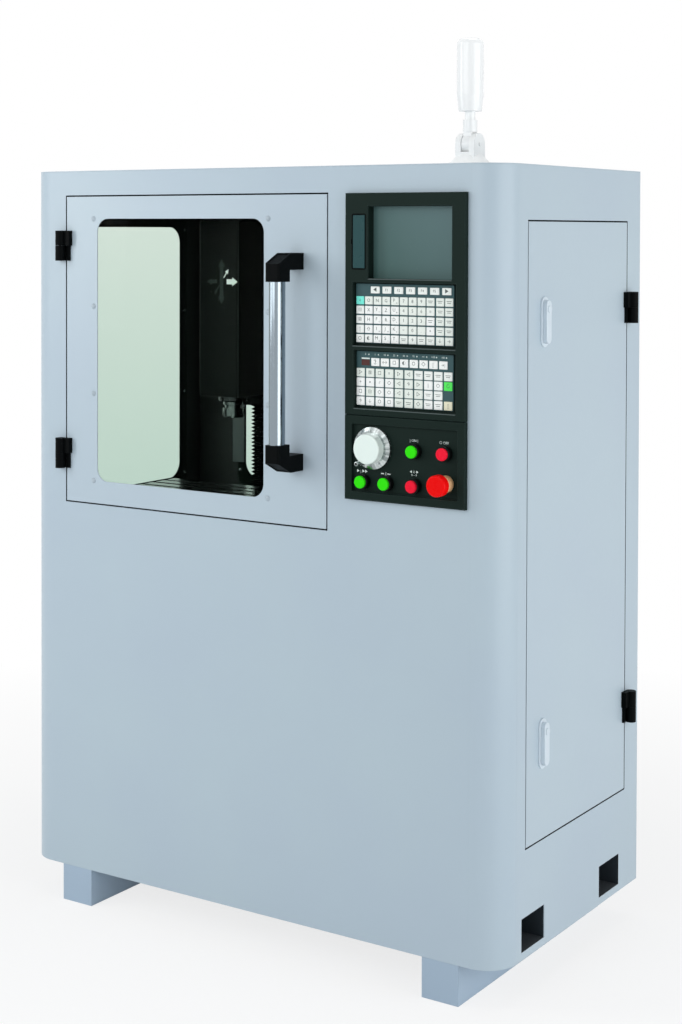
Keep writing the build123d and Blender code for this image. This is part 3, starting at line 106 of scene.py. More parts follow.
def areaLamp(name, where, target, size, watts, colour=(1, 1, 1)):
    lamp = bpy.data.objects.new(name, bpy.data.lights.new(name, "AREA"))
    lamp.data.shape = "RECTANGLE"
    lamp.data.size, lamp.data.size_y = size
    lamp.data.energy = watts
    lamp.data.color = colour
    lamp.location = where
    lamp.rotation_euler = (Vector(target) - Vector(where)).to_track_quat("-Z", "Y").to_euler()
    bpy.context.scene.collection.objects.link(lamp)


studio = {"ambient": 0.36, "shade": (0.90, 0.955, 1.0), "nearGlow": 0.78, "farGlow": 1.0, "floorColour": (0.93, 0.93, 0.93)}
areaLamp("leftBox", (-2.5, -2.2, 2.2), (-0.1, 0, 1.1), (0.9, 2.4), 34)
areaLamp("frontBox", (-0.3, -3.5, 2.1), (-0.1, 0, 1.1), (2.8, 2.0), 37)
areaLamp("rightBox", (4.3, -0.2, 1.15), (0.2, 0, 0.85), (4.0, 2.8), 90)
areaLamp("topBox", (0.2, 0.4, 4.2), (0, 0, 1.5), (2.5, 2.0), 34)

world = bpy.data.worlds.new("studio")
bpy.context.scene.world = world
world.use_nodes = True
sky = world.node_tree
background = sky.nodes["Background"]
ray = addNode(sky, "ShaderNodeLightPath")
seen = addNode(sky, "ShaderNodeMath", operation="ADD")
seenToo = addNode(sky, "ShaderNodeMath", operation="ADD")
direct = addNode(sky, "ShaderNodeMath", operation="LESS_THAN")
direct.inputs[1].default_value = 0.5
white = addNode(sky, "ShaderNodeMath", operation="MULTIPLY", use_clamp=True)
strength = addNode(sky, "ShaderNodeMapRange")
strength.inputs["To Min"].default_value = studio["ambient"]
strength.inputs["To Max"].default_value = 1.0
link(sky, ray.outputs["Is Camera Ray"], seen.inputs[0])
link(sky, ray.outputs["Is Glossy Ray"], seen.inputs[1])
link(sky, seen.outputs[0], seenToo.inputs[0])
link(sky, ray.outputs["Is Transmission Ray"], seenToo.inputs[1])
link(sky, ray.outputs["Diffuse Depth"], direct.inputs[0])
link(sky, seenToo.outputs[0], white.inputs[0])
link(sky, direct.outputs[0], white.inputs[1])
link(sky, white.outputs[0], strength.inputs["Value"])
link(sky, strength.outputs[0], background.inputs["Strength"])
skyTint = blended(sky, white.outputs[0], studio["shade"], (1, 1, 1))
link(sky, skyTint, background.inputs["Color"])

floorMaterial = bpy.data.materials.new("studioFloor")
floorMaterial.use_nodes = True
tree = floorMaterial.node_tree
tree.nodes.clear()
output = addNode(tree, "ShaderNodeOutputMaterial")
matt = addNode(tree, "ShaderNodeBsdfDiffuse", Color=(*studio["floorColour"], 1))
glow = addNode(tree, "ShaderNodeEmission", Color=(1, 1, 1, 1), Strength=1.0)
path = addNode(tree, "ShaderNodeLightPath")
where = addNode(tree, "ShaderNodeTexCoord")
distance = addNode(tree, "ShaderNodeVectorMath", operation="LENGTH")
glowShare = addNode(tree, "ShaderNodeMapRange")
glowShare.inputs["From Min"].default_value = 0.9
glowShare.inputs["From Max"].default_value = 2.4
glowShare.inputs["To Min"].default_value = studio["nearGlow"]
glowShare.inputs["To Max"].default_value = studio["farGlow"]
watched = addNode(tree, "ShaderNodeMath", operation="ADD")
watchedToo = addNode(tree, "ShaderNodeMath", operation="ADD")
firstHit = addNode(tree, "ShaderNodeMath", operation="LESS_THAN")
firstHit.inputs[1].default_value = 0.5
watchedFirst = addNode(tree, "ShaderNodeMath", operation="MULTIPLY")
share = addNode(tree, "ShaderNodeMath", operation="MULTIPLY", use_clamp=True)
link(tree, where.outputs["Object"], distance.inputs[0])
link(tree, distance.outputs["Value"], glowShare.inputs["Value"])
link(tree, path.outputs["Is Camera Ray"], watched.inputs[0])
link(tree, path.outputs["Is Glossy Ray"], watched.inputs[1])
link(tree, watched.outputs[0], watchedToo.inputs[0])
link(tree, path.outputs["Is Transmission Ray"], watchedToo.inputs[1])
link(tree, path.outputs["Diffuse Depth"], firstHit.inputs[0])
link(tree, watchedToo.outputs[0], watchedFirst.inputs[0])
link(tree, firstHit.outputs[0], watchedFirst.inputs[1])
link(tree, watchedFirst.outputs[0], share.inputs[0])
link(tree, glowShare.outputs[0], share.inputs[1])
mix = addNode(tree, "ShaderNodeMixShader")
link(tree, share.outputs[0], mix.inputs["Fac"])
link(tree, matt.outputs[0], mix.inputs[1])
link(tree, glow.outputs[0], mix.inputs[2])
link(tree, mix.outputs[0], output.inputs["Surface"])
floorMesh = bpy.data.meshes.new("floor")
floorMesh.from_pydata([(-60, -60, 0), (60, -60, 0), (60, 60, 0), (-60, 60, 0)], [], [(0, 1, 2, 3)])
floorMesh.materials.append(floorMaterial)
floor = bpy.data.objects.new("floor", floorMesh)
bpy.context.scene.collection.objects.link(floor)
bpy.context.scene.view_settings.view_transform = "Standard"
print("camera, lamps and floor placed")


# effects that several materials share

def newGroup(name, inputs, outputs):
    group = bpy.data.node_groups.new(name, "ShaderNodeTree")
    for label, kind, value in inputs:
        socket = group.interface.new_socket(label, in_out="INPUT", socket_type=kind)
        socket.default_value = value
    for label, kind in outputs:
        group.interface.new_socket(label, in_out="OUTPUT", socket_type=kind)
    return group, group.nodes.new("NodeGroupInput"), group.nodes.new("NodeGroupOutput")


number, colour, direction = "NodeSocketFloat", "NodeSocketColor", "NodeSocketVector"

# rounded edges: the averaged normal within a radius, and a mask where it leaves the true normal
edgeGroup, given, result = newGroup("roundedEdge", [("Radius", number, 0.001)], [("Normal", direction), ("Edge", number)])
soft = addNode(edgeGroup, "ShaderNodeBevel", samples=4)
plain = addNode(edgeGroup, "ShaderNodeNewGeometry")
alike = addNode(edgeGroup, "ShaderNodeVectorMath", operation="DOT_PRODUCT")
edgeMask = addNode(edgeGroup, "ShaderNodeMapRange")
edgeMask.inputs["From Min"].default_value = 0.995
edgeMask.inputs["From Max"].default_value = 0.75
link(edgeGroup, given.outputs["Radius"], soft.inputs["Radius"])
link(edgeGroup, soft.outputs["Normal"], alike.inputs[0])
link(edgeGroup, plain.outputs["True Normal"], alike.inputs[1])
link(edgeGroup, alike.outputs["Value"], edgeMask.inputs["Value"])
link(edgeGroup, soft.outputs["Normal"], result.inputs["Normal"])
link(edgeGroup, edgeMask.outputs[0], result.inputs["Edge"])

# grain: fine noise for the bump, a coarser one for roughness, and large soft patches for colour
grainGroup, given, result = newGroup("grain", [("Fine", number, 900.0), ("Stretch", direction, (1, 1, 1))],
                                     [("Height", number), ("Speckle", number), ("Patch", number)])
coords = addNode(grainGroup, "ShaderNodeTexCoord")
stretched = addNode(grainGroup, "ShaderNodeVectorMath", operation="MULTIPLY")
fineNoise = addNode(grainGroup, "ShaderNodeTexNoise", Detail=3.0, Roughness=0.55)
speckleNoise = addNode(grainGroup, "ShaderNodeTexNoise", Scale=120.0, Detail=4.0, Roughness=0.6)
patchNoise = addNode(grainGroup, "ShaderNodeTexNoise", Scale=3.2, Detail=2.0, Roughness=0.5)
link(grainGroup, coords.outputs["Object"], stretched.inputs[0])
link(grainGroup, given.outputs["Stretch"], stretched.inputs[1])
link(grainGroup, stretched.outputs[0], fineNoise.inputs["Vector"])
link(grainGroup, given.outputs["Fine"], fineNoise.inputs["Scale"])
link(grainGroup, coords.outputs["Object"], speckleNoise.inputs["Vector"])
link(grainGroup, coords.outputs["Object"], patchNoise.inputs["Vector"])
link(grainGroup, fineNoise.outputs["Fac"], result.inputs["Height"])
link(grainGroup, speckleNoise.outputs["Fac"], result.inputs["Speckle"])
link(grainGroup, patchNoise.outputs["Fac"], result.inputs["Patch"])

# dust: faces that look up, broken by noise
dustGroup, given, result = newGroup("settledDust", [("Amount", number, 0.3)], [("Dust", number)])
facing = addNode(dustGroup, "ShaderNodeNewGeometry")
split = addNode(dustGroup, "ShaderNodeSeparateXYZ")
upward = addNode(dustGroup, "ShaderNodeMapRange")
upward.inputs["From Min"].default_value = 0.5
upward.inputs["From Max"].default_value = 1.0
coords = addNode(dustGroup, "ShaderNodeTexCoord")
cloud = addNode(dustGroup, "ShaderNodeTexNoise", Scale=14.0, Detail=5.0, Roughness=0.65)
broken = addNode(dustGroup, "ShaderNodeMath", operation="MULTIPLY")
scaled = addNode(dustGroup, "ShaderNodeMath", operation="MULTIPLY")
link(dustGroup, facing.outputs["True Normal"], split.inputs[0])
link(dustGroup, split.outputs["Z"], upward.inputs["Value"])
link(dustGroup, coords.outputs["Object"], cloud.inputs["Vector"])
link(dustGroup, cloud.outputs["Fac"], broken.inputs[0])
link(dustGroup, upward.outputs[0], broken.inputs[1])
link(dustGroup, broken.outputs[0], scaled.inputs[0])
link(dustGroup, given.outputs["Amount"], scaled.inputs[1])
link(dustGroup, scaled.outputs[0], result.inputs["Dust"])

# painted inner shade: faces whose normal points towards the middle of the cabinet, darkened to stand for the shade
# inside
innerShadeGroup, given, result = newGroup("innerFacePaintedShade", [("Middle", direction, (0, 0, 0))], [("Inside", number)])
facing = addNode(innerShadeGroup, "ShaderNodeNewGeometry")
coords = addNode(innerShadeGroup, "ShaderNodeTexCoord")
outward = addNode(innerShadeGroup, "ShaderNodeVectorMath", operation="SUBTRACT")
unit = addNode(innerShadeGroup, "ShaderNodeVectorMath", operation="NORMALIZE")
against = addNode(innerShadeGroup, "ShaderNodeVectorMath", operation="DOT_PRODUCT")
inside = addNode(innerShadeGroup, "ShaderNodeMath", operation="LESS_THAN")
inside.inputs[1].default_value = -0.12
link(innerShadeGroup, coords.outputs["Object"], outward.inputs[0])
link(innerShadeGroup, given.outputs["Middle"], outward.inputs[1])
link(innerShadeGroup, outward.outputs[0], unit.inputs[0])
link(innerShadeGroup, facing.outputs["True Normal"], against.inputs[0])
link(innerShadeGroup, unit.outputs[0], against.inputs[1])
link(innerShadeGroup, against.outputs["Value"], inside.inputs[0])
link(innerShadeGroup, inside.outputs[0], result.inputs["Inside"])


def placed(tree, group, **values):
    node = tree.nodes.new("ShaderNodeGroup")
    node.node_tree = group
    for key, value in values.items():
        node.inputs[key].default_value = value
    return node


def coated(name, look):
    # one finish: two close tones in patches, speckled roughness, fine bump, softened edges, lighter edges that are wear
    # on most finishes and a painted highlight on some, dust on what looks up
    material = bpy.data.materials.new(name)
    material.use_nodes = True
    tree = material.node_tree
    shader = tree.nodes["Principled BSDF"]
    grain = placed(tree, grainGroup, Fine=look.get("fine", 900.0), Stretch=look.get("stretch", (1, 1, 1)))
    edge = placed(tree, edgeGroup, Radius=look.get("edge", 0.6) * mm)
    dust = placed(tree, dustGroup, Amount=look.get("dust", 0.15))
    tone = ranged(tree, grain.outputs["Patch"], 0, 1, 0.3, 0.7)
    base = blended(tree, tone, look["colour"], look.get("tone", tuple(c * 0.95 for c in look["colour"])))
    if "varied" in look:  # each copy in the piece carries its own tone
        own = addNode(tree, "ShaderNodeAttribute", attribute_name="tone")
        base = blended(tree, own.outputs["Fac"], base, look["varied"])
    # faces inside the cabinet are darkened towards near black as painted shade
    if "paintedInnerShade" in look:
        paintedInnerShade = placed(tree, innerShadeGroup, Middle=look["middle"])
        base = blended(tree, paintedInnerShade.outputs["Inside"], base, look["paintedInnerShade"])
    # lighter edges: wear, and on the head cover and panel moulding a painted highlight
    edgeWornAndGlint = addNode(tree, "ShaderNodeMath", operation="MULTIPLY")
    link(tree, edge.outputs["Edge"], edgeWornAndGlint.inputs[0])
    edgeWornAndGlint.inputs[1].default_value = look.get("edgeWearAndGlint", 0.25)
    base = blended(tree, edgeWornAndGlint.outputs[0], base, look.get("edgeWornAndGlint", tuple(min(1, c * 1.25 + 0.02) for c in look["colour"])))
    base = blended(tree, dust.outputs["Dust"], base, look.get("dustColour", (0.55, 0.54, 0.52)))
    link(tree, base, shader.inputs["Base Color"])
    rough = look.get("rough", 0.4)
    spread = look.get("spread", 0.06)
    gloss = ranged(tree, grain.outputs["Speckle"], rough - spread, rough + spread, 0.25, 0.75)
    if "paintedInnerShade" in look:  # the painted inner shade is matt
        matt = addNode(tree, "ShaderNodeMath", operation="MULTIPLY_ADD")
        link(tree, paintedInnerShade.outputs["Inside"], matt.inputs[0])
        matt.inputs[1].default_value = 0.45
        link(tree, gloss, matt.inputs[2])
        gloss = matt.outputs[0]
    link(tree, gloss, shader.inputs["Roughness"])
    bump = addNode(tree, "ShaderNodeBump", Strength=look.get("bump", 0.12), Distance=look.get("depth", 0.2) * mm)
    link(tree, grain.outputs["Height"], bump.inputs["Height"])
    link(tree, edge.outputs["Normal"], bump.inputs["Normal"])
    link(tree, bump.outputs["Normal"], shader.inputs["Normal"])
    shader.inputs["Metallic"].default_value = look.get("metal", 0.0)
    shader.inputs["Coat Weight"].default_value = look.get("coat", 0.0)
    shader.inputs["Coat Roughness"].default_value = look.get("coatRough", 0.15)
    shader.inputs["Specular IOR Level"].default_value = look.get("shine", 0.5)
    return material


chamberMiddle = tuple(place(590, 330, 850))
sheetBlue = (0.470, 0.572, 0.636)
# near black that stands for the shade inside the cabinet
paintedShadeBlack = (0.0062, 0.0078, 0.0076)
finishes = {
    # shell panels: blue sheet paint outside, and near-black painted shade on the faces inside the cabinet
    "shellPaint": {"colour": sheetBlue, "tone": (0.455, 0.550, 0.628), "rough": 0.34, "fine": 520.0,
                   "bump": 0.10, "depth": 0.25, "edge": 1.0, "edgeWearAndGlint": 0.18, "dust": 0.12, "shine": 0.35,
                   "paintedInnerShade": paintedShadeBlack, "middle": chamberMiddle},
    "doorPaint": {"colour": sheetBlue, "tone": (0.458, 0.553, 0.630), "rough": 0.36, "fine": 520.0,
                  "bump": 0.10, "depth": 0.25, "edge": 1.0, "edgeWearAndGlint": 0.18, "dust": 0.10},
    # feet: the sheet paint made darker and bluer as painted shade under the cabinet
    "footPaintedShade": {"colour": (0.385, 0.495, 0.610), "rough": 0.45, "fine": 520.0, "bump": 0.12, "edge": 1.2,
                  "edgeWearAndGlint": 0.3, "dust": 0.2},
    # fork tubes: near black as painted shade inside the fork pockets
    "pocketPaintedShade": {"colour": (0.030, 0.040, 0.050), "rough": 0.6, "fine": 520.0, "bump": 0.12, "shine": 0.2,
                    "dust": 0.1},
    # near black for the parts inside the chamber and the door rebates: painted shade
    "paintedShadeLining": {"colour": paintedShadeBlack, "rough": 0.6, "fine": 700.0, "bump": 0.15, "edge": 0.8, "shine": 0.06,
                   "edgeWearAndGlint": 0.2, "dust": 0.01},
    # head cover: near black as painted shade, with much lighter edges as a painted highlight
    "coverPaintedShadeAndGlint": {"colour": (0.0024, 0.0037, 0.0032), "rough": 0.38, "fine": 900.0, "bump": 0.12, "edge": 0.8,
                   "shine": 0.06, "edgeWearAndGlint": 0.7, "edgeWornAndGlint": (0.16, 0.18, 0.18), "dust": 0.0},
    # near black for the bed, saddle, column and head: painted shade inside the chamber
    "castingPaintedShade": {"colour": (0.011, 0.014, 0.014), "rough": 0.45, "fine": 260.0, "bump": 0.45, "depth": 0.5,
                      "edge": 1.5, "shine": 0.12, "edgeWearAndGlint": 0.25, "dust": 0.02},
    "groundSteel": {"colour": (0.19, 0.21, 0.21), "tone": (0.17, 0.19, 0.19), "rough": 0.20, "spread": 0.03,
                    "metal": 1.0, "fine": 900.0, "stretch": (0.05, 1, 1), "bump": 0.03, "depth": 0.02, "edge": 0.5,
                    "edgeWearAndGlint": 0.3, "dust": 0.0},
    "blackedSteel": {"colour": (0.045, 0.048, 0.050), "rough": 0.24, "metal": 1.0, "fine": 1800.0, "bump": 0.05,
                     "depth": 0.03, "edge": 0.5, "edgeWearAndGlint": 0.3, "edgeWornAndGlint": (0.20, 0.21, 0.22), "dust": 0.0},
    # grey for the patch of rear wall beside the rear window where light falls: painted light
    "rearLitPatchPaint": {"colour": (0.062, 0.072, 0.076), "rough": 0.40, "fine": 900.0, "bump": 0.1, "edge": 0.4,
                  "shine": 0.3, "dust": 0.02},
    "holderSteel": {"colour": (0.16, 0.18, 0.18), "rough": 0.18, "spread": 0.03, "metal": 1.0, "fine": 1800.0,
                    "bump": 0.03, "depth": 0.02, "edge": 0.4, "dust": 0.0},
    "turnedSteel": {"colour": (0.50, 0.51, 0.52), "rough": 0.20, "spread": 0.03, "metal": 1.0, "fine": 1800.0,
                    "stretch": (1, 1, 3), "bump": 0.03, "depth": 0.02, "edge": 0.4, "dust": 0.0},
    "polishedTube": {"colour": (0.28, 0.33, 0.37), "tone": (0.27, 0.32, 0.36), "rough": 0.11, "spread": 0.03,
                     "metal": 1.0, "fine": 2500.0, "stretch": (1, 1, 0.02), "bump": 0.05, "depth": 0.03, "edge": 0.3,
                     "dust": 0.0},
    "blackCasting": {"colour": (0.0018, 0.0026, 0.0029), "rough": 0.45, "fine": 1500.0, "bump": 0.25, "depth": 0.1,
                     "shine": 0.035, "edge": 0.8, "edgeWearAndGlint": 0.3, "dust": 0.0, "edgeWornAndGlint": (0.020, 0.025, 0.028)},
    # panel moulding: its much lighter edges are painted highlights along the recess rims
    "panelMouldingLitEdges": {"colour": (0.0082, 0.0176, 0.0145), "tone": (0.0094, 0.0196, 0.0162), "rough": 0.46,
                      "fine": 1600.0, "bump": 0.35, "depth": 0.12, "edge": 0.9, "edgeWearAndGlint": 0.75, "dust": 0.0,
                      "shine": 0.06, "edgeWornAndGlint": (0.085, 0.120, 0.118)},
    # lighter grey-green for thin bars that stand for the highlight on the lower recess rims
    "rimHighlightPaint": {"colour": (0.075, 0.100, 0.098), "rough": 0.4, "fine": 1600.0, "bump": 0.2, "edge": 0.2,
                    "shine": 0.2, "dust": 0.0},
    "portFlap": {"colour": (0.020, 0.068, 0.072), "rough": 0.30, "fine": 1600.0, "bump": 0.2, "edge": 0.3,
                 "shine": 0.12, "edgeWearAndGlint": 0.1, "dust": 0.02},
    "wheelMetal": {"colour": (0.84, 0.95, 0.90), "tone": (0.82, 0.93, 0.88), "rough": 0.20, "spread": 0.02,
                   "fine": 2200.0, "bump": 0.02, "depth": 0.02, "edge": 0.4, "edgeWearAndGlint": 0.1, "dust": 0.0, "coat": 0.5},
    "latchPaint": {"colour": (0.66, 0.75, 0.82), "rough": 0.35, "fine": 1400.0, "bump": 0.15, "edge": 0.6,
                   "dust": 0.05},
    "lampShell": {"colour": (0.97, 0.98, 0.975), "tone": (0.95, 0.96, 0.955), "rough": 0.22, "fine": 2600.0,
                  "bump": 0.04, "edge": 0.6, "edgeWearAndGlint": 0.0, "dust": 0.02, "coat": 0.2},
    "lampFoot": {"colour": (0.99, 1.0, 0.99), "rough": 0.35, "fine": 1800.0, "bump": 0.15, "edge": 0.6, "edgeWearAndGlint": 0.1,
                 "dust": 0.03},
    "motorPaint": {"colour": (0.006, 0.006, 0.007), "rough": 0.40, "fine": 1200.0, "bump": 0.3, "edge": 0.8,
                   "shine": 0.2, "edgeWearAndGlint": 0.25, "dust": 0.03, "edgeWornAndGlint": (0.06, 0.06, 0.06)},
    "gearHousing": {"colour": (0.10, 0.105, 0.11), "rough": 0.5, "fine": 1500.0, "bump": 0.25, "edge": 0.5,
                    "dust": 0.12},
    "blackRubber": {"colour": (0.0022, 0.0028, 0.0028), "rough": 0.62, "fine": 1300.0, "bump": 0.4, "edge": 0.3,
                    "shine": 0.04, "edgeWearAndGlint": 0.1, "dust": 0.0, "edgeWornAndGlint": (0.012, 0.014, 0.014)},
    "bezelPlastic": {"colour": (0.0040, 0.0048, 0.0048), "rough": 0.35, "fine": 2000.0, "bump": 0.15, "edge": 0.3,
                     "shine": 0.12, "edgeWearAndGlint": 0.1, "dust": 0.01, "edgeWornAndGlint": (0.02, 0.02, 0.02)},
    "greenCap": {"colour": (0.038, 0.84, 0.006), "tone": (0.034, 0.80, 0.005), "rough": 0.25, "fine": 2500.0,
                 "bump": 0.04, "edge": 0.5, "edgeWearAndGlint": 0.05, "dust": 0.0, "shine": 0.09},
    "redCap": {"colour": (0.95, 0.010, 0.040), "tone": (0.90, 0.008, 0.034), "rough": 0.28, "fine": 2500.0,
               "bump": 0.04, "edge": 0.6, "edgeWearAndGlint": 0.05, "dust": 0.0, "shine": 0.12},
    "stopCap": {"colour": (0.92, 0.0040, 0.0040), "tone": (0.88, 0.0035, 0.0035), "rough": 0.28, "fine": 2500.0,
                "bump": 0.04, "edge": 0.6, "edgeWearAndGlint": 0.15, "edgeWornAndGlint": (0.98, 0.06, 0.05), "dust": 0.0, "shine": 0.08},
    "collarPlastic": {"colour": (0.90, 0.52, 0.26), "rough": 0.35, "fine": 2000.0, "bump": 0.1, "edge": 0.4,
                      "dust": 0.02},
    "paintedScrew": {"colour": (0.42, 0.50, 0.56), "rough": 0.30, "fine": 2500.0, "bump": 0.08, "edge": 0.2,
                     "edgeWearAndGlint": 0.3, "edgeWornAndGlint": (0.66, 0.72, 0.76), "dust": 0.02},
    "zincScrew": {"colour": (0.62, 0.65, 0.68), "rough": 0.28, "metal": 0.9, "fine": 2500.0, "bump": 0.06,
                  "edge": 0.2, "dust": 0.0},
    "dullScrew": {"colour": (0.30, 0.32, 0.33), "rough": 0.25, "metal": 0.9, "fine": 2500.0, "bump": 0.06,
                  "edge": 0.2, "dust": 0.0},
    "blackScrew": {"colour": (0.012, 0.012, 0.013), "rough": 0.35, "metal": 0.4, "fine": 2500.0, "bump": 0.1,
                   "edge": 0.2, "dust": 0.0},
    "domeKey": {"colour": (0.97, 0.99, 0.97), "tone": (0.95, 0.97, 0.95), "varied": (0.80, 0.87, 0.79), "rough": 0.42,
                "fine": 1800.0, "bump": 0.08, "depth": 0.05, "edge": 0.4, "edgeWearAndGlint": 0.05, "dust": 0.0, "shine": 0.3},
    "turquoiseKey": {"colour": (0.21, 0.92, 0.76), "tone": (0.19, 0.88, 0.73), "rough": 0.42, "fine": 1800.0,
                     "bump": 0.08, "edge": 0.4, "shine": 0.2, "dust": 0.0},
    "greenKey": {"colour": (0.10, 0.90, 0.12), "tone": (0.09, 0.86, 0.11), "rough": 0.42, "fine": 1800.0,
                 "bump": 0.08, "edge": 0.4, "shine": 0.2, "dust": 0.0},
    "beigeKey": {"colour": (0.86, 0.83, 0.62), "tone": (0.84, 0.81, 0.60), "rough": 0.42, "fine": 1800.0,
                 "bump": 0.08, "edge": 0.4, "shine": 0.3, "dust": 0.0},
    "padFilm": {"colour": (0.047, 0.102, 0.110), "tone": (0.042, 0.094, 0.102), "rough": 0.40, "fine": 1600.0,
                "bump": 0.1, "depth": 0.05, "edge": 0.3, "shine": 0.15, "dust": 0.0},
    "displayFilm": {"colour": (0.085, 0.030, 0.028), "tone": (0.105, 0.036, 0.032), "rough": 0.20, "fine": 1600.0,
                    "bump": 0.05, "edge": 0.2, "shine": 0.2, "dust": 0.0},
    "whiteInk": {"colour": (0.78, 0.88, 0.84), "rough": 0.5, "fine": 3000.0, "bump": 0.1, "edge": 0.1, "edgeWearAndGlint": 0.0,
                 "dust": 0.0, "shine": 0.2},
    # pure white ink for the arrows on the lit right part of the head cover: painted light
    "litInk": {"colour": (1.0, 1.0, 1.0), "rough": 0.5, "fine": 3000.0, "bump": 0.1, "edge": 0.1, "edgeWearAndGlint": 0.0,
                  "dust": 0.0, "shine": 0.5},
    "keyInk": {"colour": (0.080, 0.105, 0.098), "rough": 0.5, "fine": 3000.0, "bump": 0.1, "edge": 0.1, "edgeWearAndGlint": 0.0,
               "dust": 0.0, "shine": 0.2},
    # near-black ink for the arrows on the shaded left part of the head cover: painted shadow
    "shadedInk": {"colour": (0.024, 0.032, 0.030), "rough": 0.5, "fine": 3000.0, "bump": 0.1, "edge": 0.1, "edgeWearAndGlint": 0.0,
                 "dust": 0.0, "shine": 0.15},
}
finish = {name: coated(name, look) for name, look in finishes.items()}

# the pulse wheel: a pale smooth cap, and bare polished metal outside its radius, streaked light and dark round the
# wheel as painted reflections
wheelLook = {"skirt": (0.24, 0.28, 0.28), "skirtGlint": (0.72, 0.78, 0.78), "reflectionScale": 2.6, "capRadius": 29.4, "centre": (902.0, 0.0, 1042.5)}
tree = finish["wheelMetal"].node_tree
shader = tree.nodes["Principled BSDF"]
coords = addNode(tree, "ShaderNodeTexCoord")
offset = addNode(tree, "ShaderNodeVectorMath", operation="SUBTRACT")
offset.inputs[1].default_value = place(*wheelLook["centre"])
across = addNode(tree, "ShaderNodeVectorMath", operation="MULTIPLY")
across.inputs[1].default_value = (1, 0, 1)
reach = addNode(tree, "ShaderNodeVectorMath", operation="LENGTH")
skirt = addNode(tree, "ShaderNodeMath", operation="GREATER_THAN")
skirt.inputs[1].default_value = wheelLook["capRadius"] * mm
link(tree, coords.outputs["Object"], offset.inputs[0])
link(tree, offset.outputs[0], across.inputs[0])
link(tree, across.outputs[0], reach.inputs[0])
link(tree, reach.outputs["Value"], skirt.inputs[0])
spoke = addNode(tree, "ShaderNodeVectorMath", operation="NORMALIZE")
reflectionStreak = addNode(tree, "ShaderNodeTexNoise", Scale=wheelLook["reflectionScale"], Detail=2.0, Roughness=0.6)
link(tree, across.outputs[0], spoke.inputs[0])
link(tree, spoke.outputs[0], reflectionStreak.inputs["Vector"])
# light and dark bands round the skirt: painted reflections
paintedReflections = blended(tree, ranged(tree, reflectionStreak.outputs["Fac"], 0, 1, 0.38, 0.62), wheelLook["skirt"], wheelLook["skirtGlint"])
capColour = shader.inputs["Base Color"].links[0].from_socket
link(tree, blended(tree, skirt.outputs[0], capColour, paintedReflections), shader.inputs["Base Color"])
link(tree, skirt.outputs[0], shader.inputs["Metallic"])
print("coated finishes made:", len(finish))


# window glass: a green tint that deepens towards the bottom edge
paneLook = {"high": (0.800, 0.868, 0.820), "low": (0.705, 0.806, 0.750), "smear": (0.74, 0.83, 0.78), "rough": 0.0,
            "bottom": 0.86, "top": 1.46, "ior": 1.045}
windowPane = bpy.data.materials.new("windowPane")
windowPane.use_nodes = True
tree = windowPane.node_tree
shader = tree.nodes["Principled BSDF"]
coords = addNode(tree, "ShaderNodeTexCoord")
axes = addNode(tree, "ShaderNodeSeparateXYZ")
grain = placed(tree, grainGroup, Fine=400.0)
link(tree, coords.outputs["Object"], axes.inputs[0])
towardsBottom = ranged(tree, axes.outputs["Z"], 1, 0, paneLook["bottom"], paneLook["top"])
tint = blended(tree, towardsBottom, paneLook["high"], paneLook["low"])
smear = ranged(tree, grain.outputs["Patch"], 0, 0.25, 0.4, 0.7)
link(tree, blended(tree, smear, tint, paneLook["smear"]), shader.inputs["Base Color"])
link(tree, ranged(tree, grain.outputs["Speckle"], paneLook["rough"], paneLook["rough"] + 0.02), shader.inputs["Roughness"])
shader.inputs["Transmission Weight"].default_value = 1.0
shader.inputs["IOR"].default_value = paneLook["ior"]
shader.inputs["Metallic"].default_value = 0.0
clear = addNode(tree, "ShaderNodeBsdfTransparent", Color=(*paneLook["smear"], 1))  # lets the lamps shine in
ray = addNode(tree, "ShaderNodeLightPath")
either = addNode(tree, "ShaderNodeMixShader")
link(tree, ray.outputs["Is Shadow Ray"], either.inputs["Fac"])
link(tree, shader.outputs["BSDF"], either.inputs[1])
link(tree, clear.outputs["BSDF"], either.inputs[2])
link(tree, either.outputs["Shader"], tree.nodes["Material Output"].inputs["Surface"])

# the display glass: a dark layer under gloss, with painted shading, a little lighter towards the top right and darker
# towards the bottom left
screenLook = {"low": (0.060, 0.122, 0.112), "high": (0.115, 0.192, 0.198), "rough": 0.22}
screenGlass = bpy.data.materials.new("screenGlass")
screenGlass.use_nodes = True
tree = screenGlass.node_tree
shader = tree.nodes["Principled BSDF"]
coords = addNode(tree, "ShaderNodeTexCoord")
axes = addNode(tree, "ShaderNodeSeparateXYZ")
grain = placed(tree, grainGroup, Fine=300.0)
low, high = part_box("screen")
link(tree, coords.outputs["Object"], axes.inputs[0])
paintedShadingSlant = addNode(tree, "ShaderNodeMath", operation="ADD")
link(tree, axes.outputs["X"], paintedShadingSlant.inputs[0])
link(tree, axes.outputs["Z"], paintedShadingSlant.inputs[1])
rise = ranged(tree, paintedShadingSlant.outputs[0], 0, 1, low.x + low.z, high.x + high.z)
shade = blended(tree, rise, screenLook["low"], screenLook["high"])
smear = ranged(tree, grain.outputs["Patch"], 0, 0.25, 0.4, 0.7)
link(tree, blended(tree, smear, shade, screenLook["high"]), shader.inputs["Base Color"])
link(tree, ranged(tree, grain.outputs["Speckle"], screenLook["rough"], screenLook["rough"] + 0.08), shader.inputs["Roughness"])
shader.inputs["Coat Weight"].default_value = 0.04
shader.inputs["Specular IOR Level"].default_value = 0.1

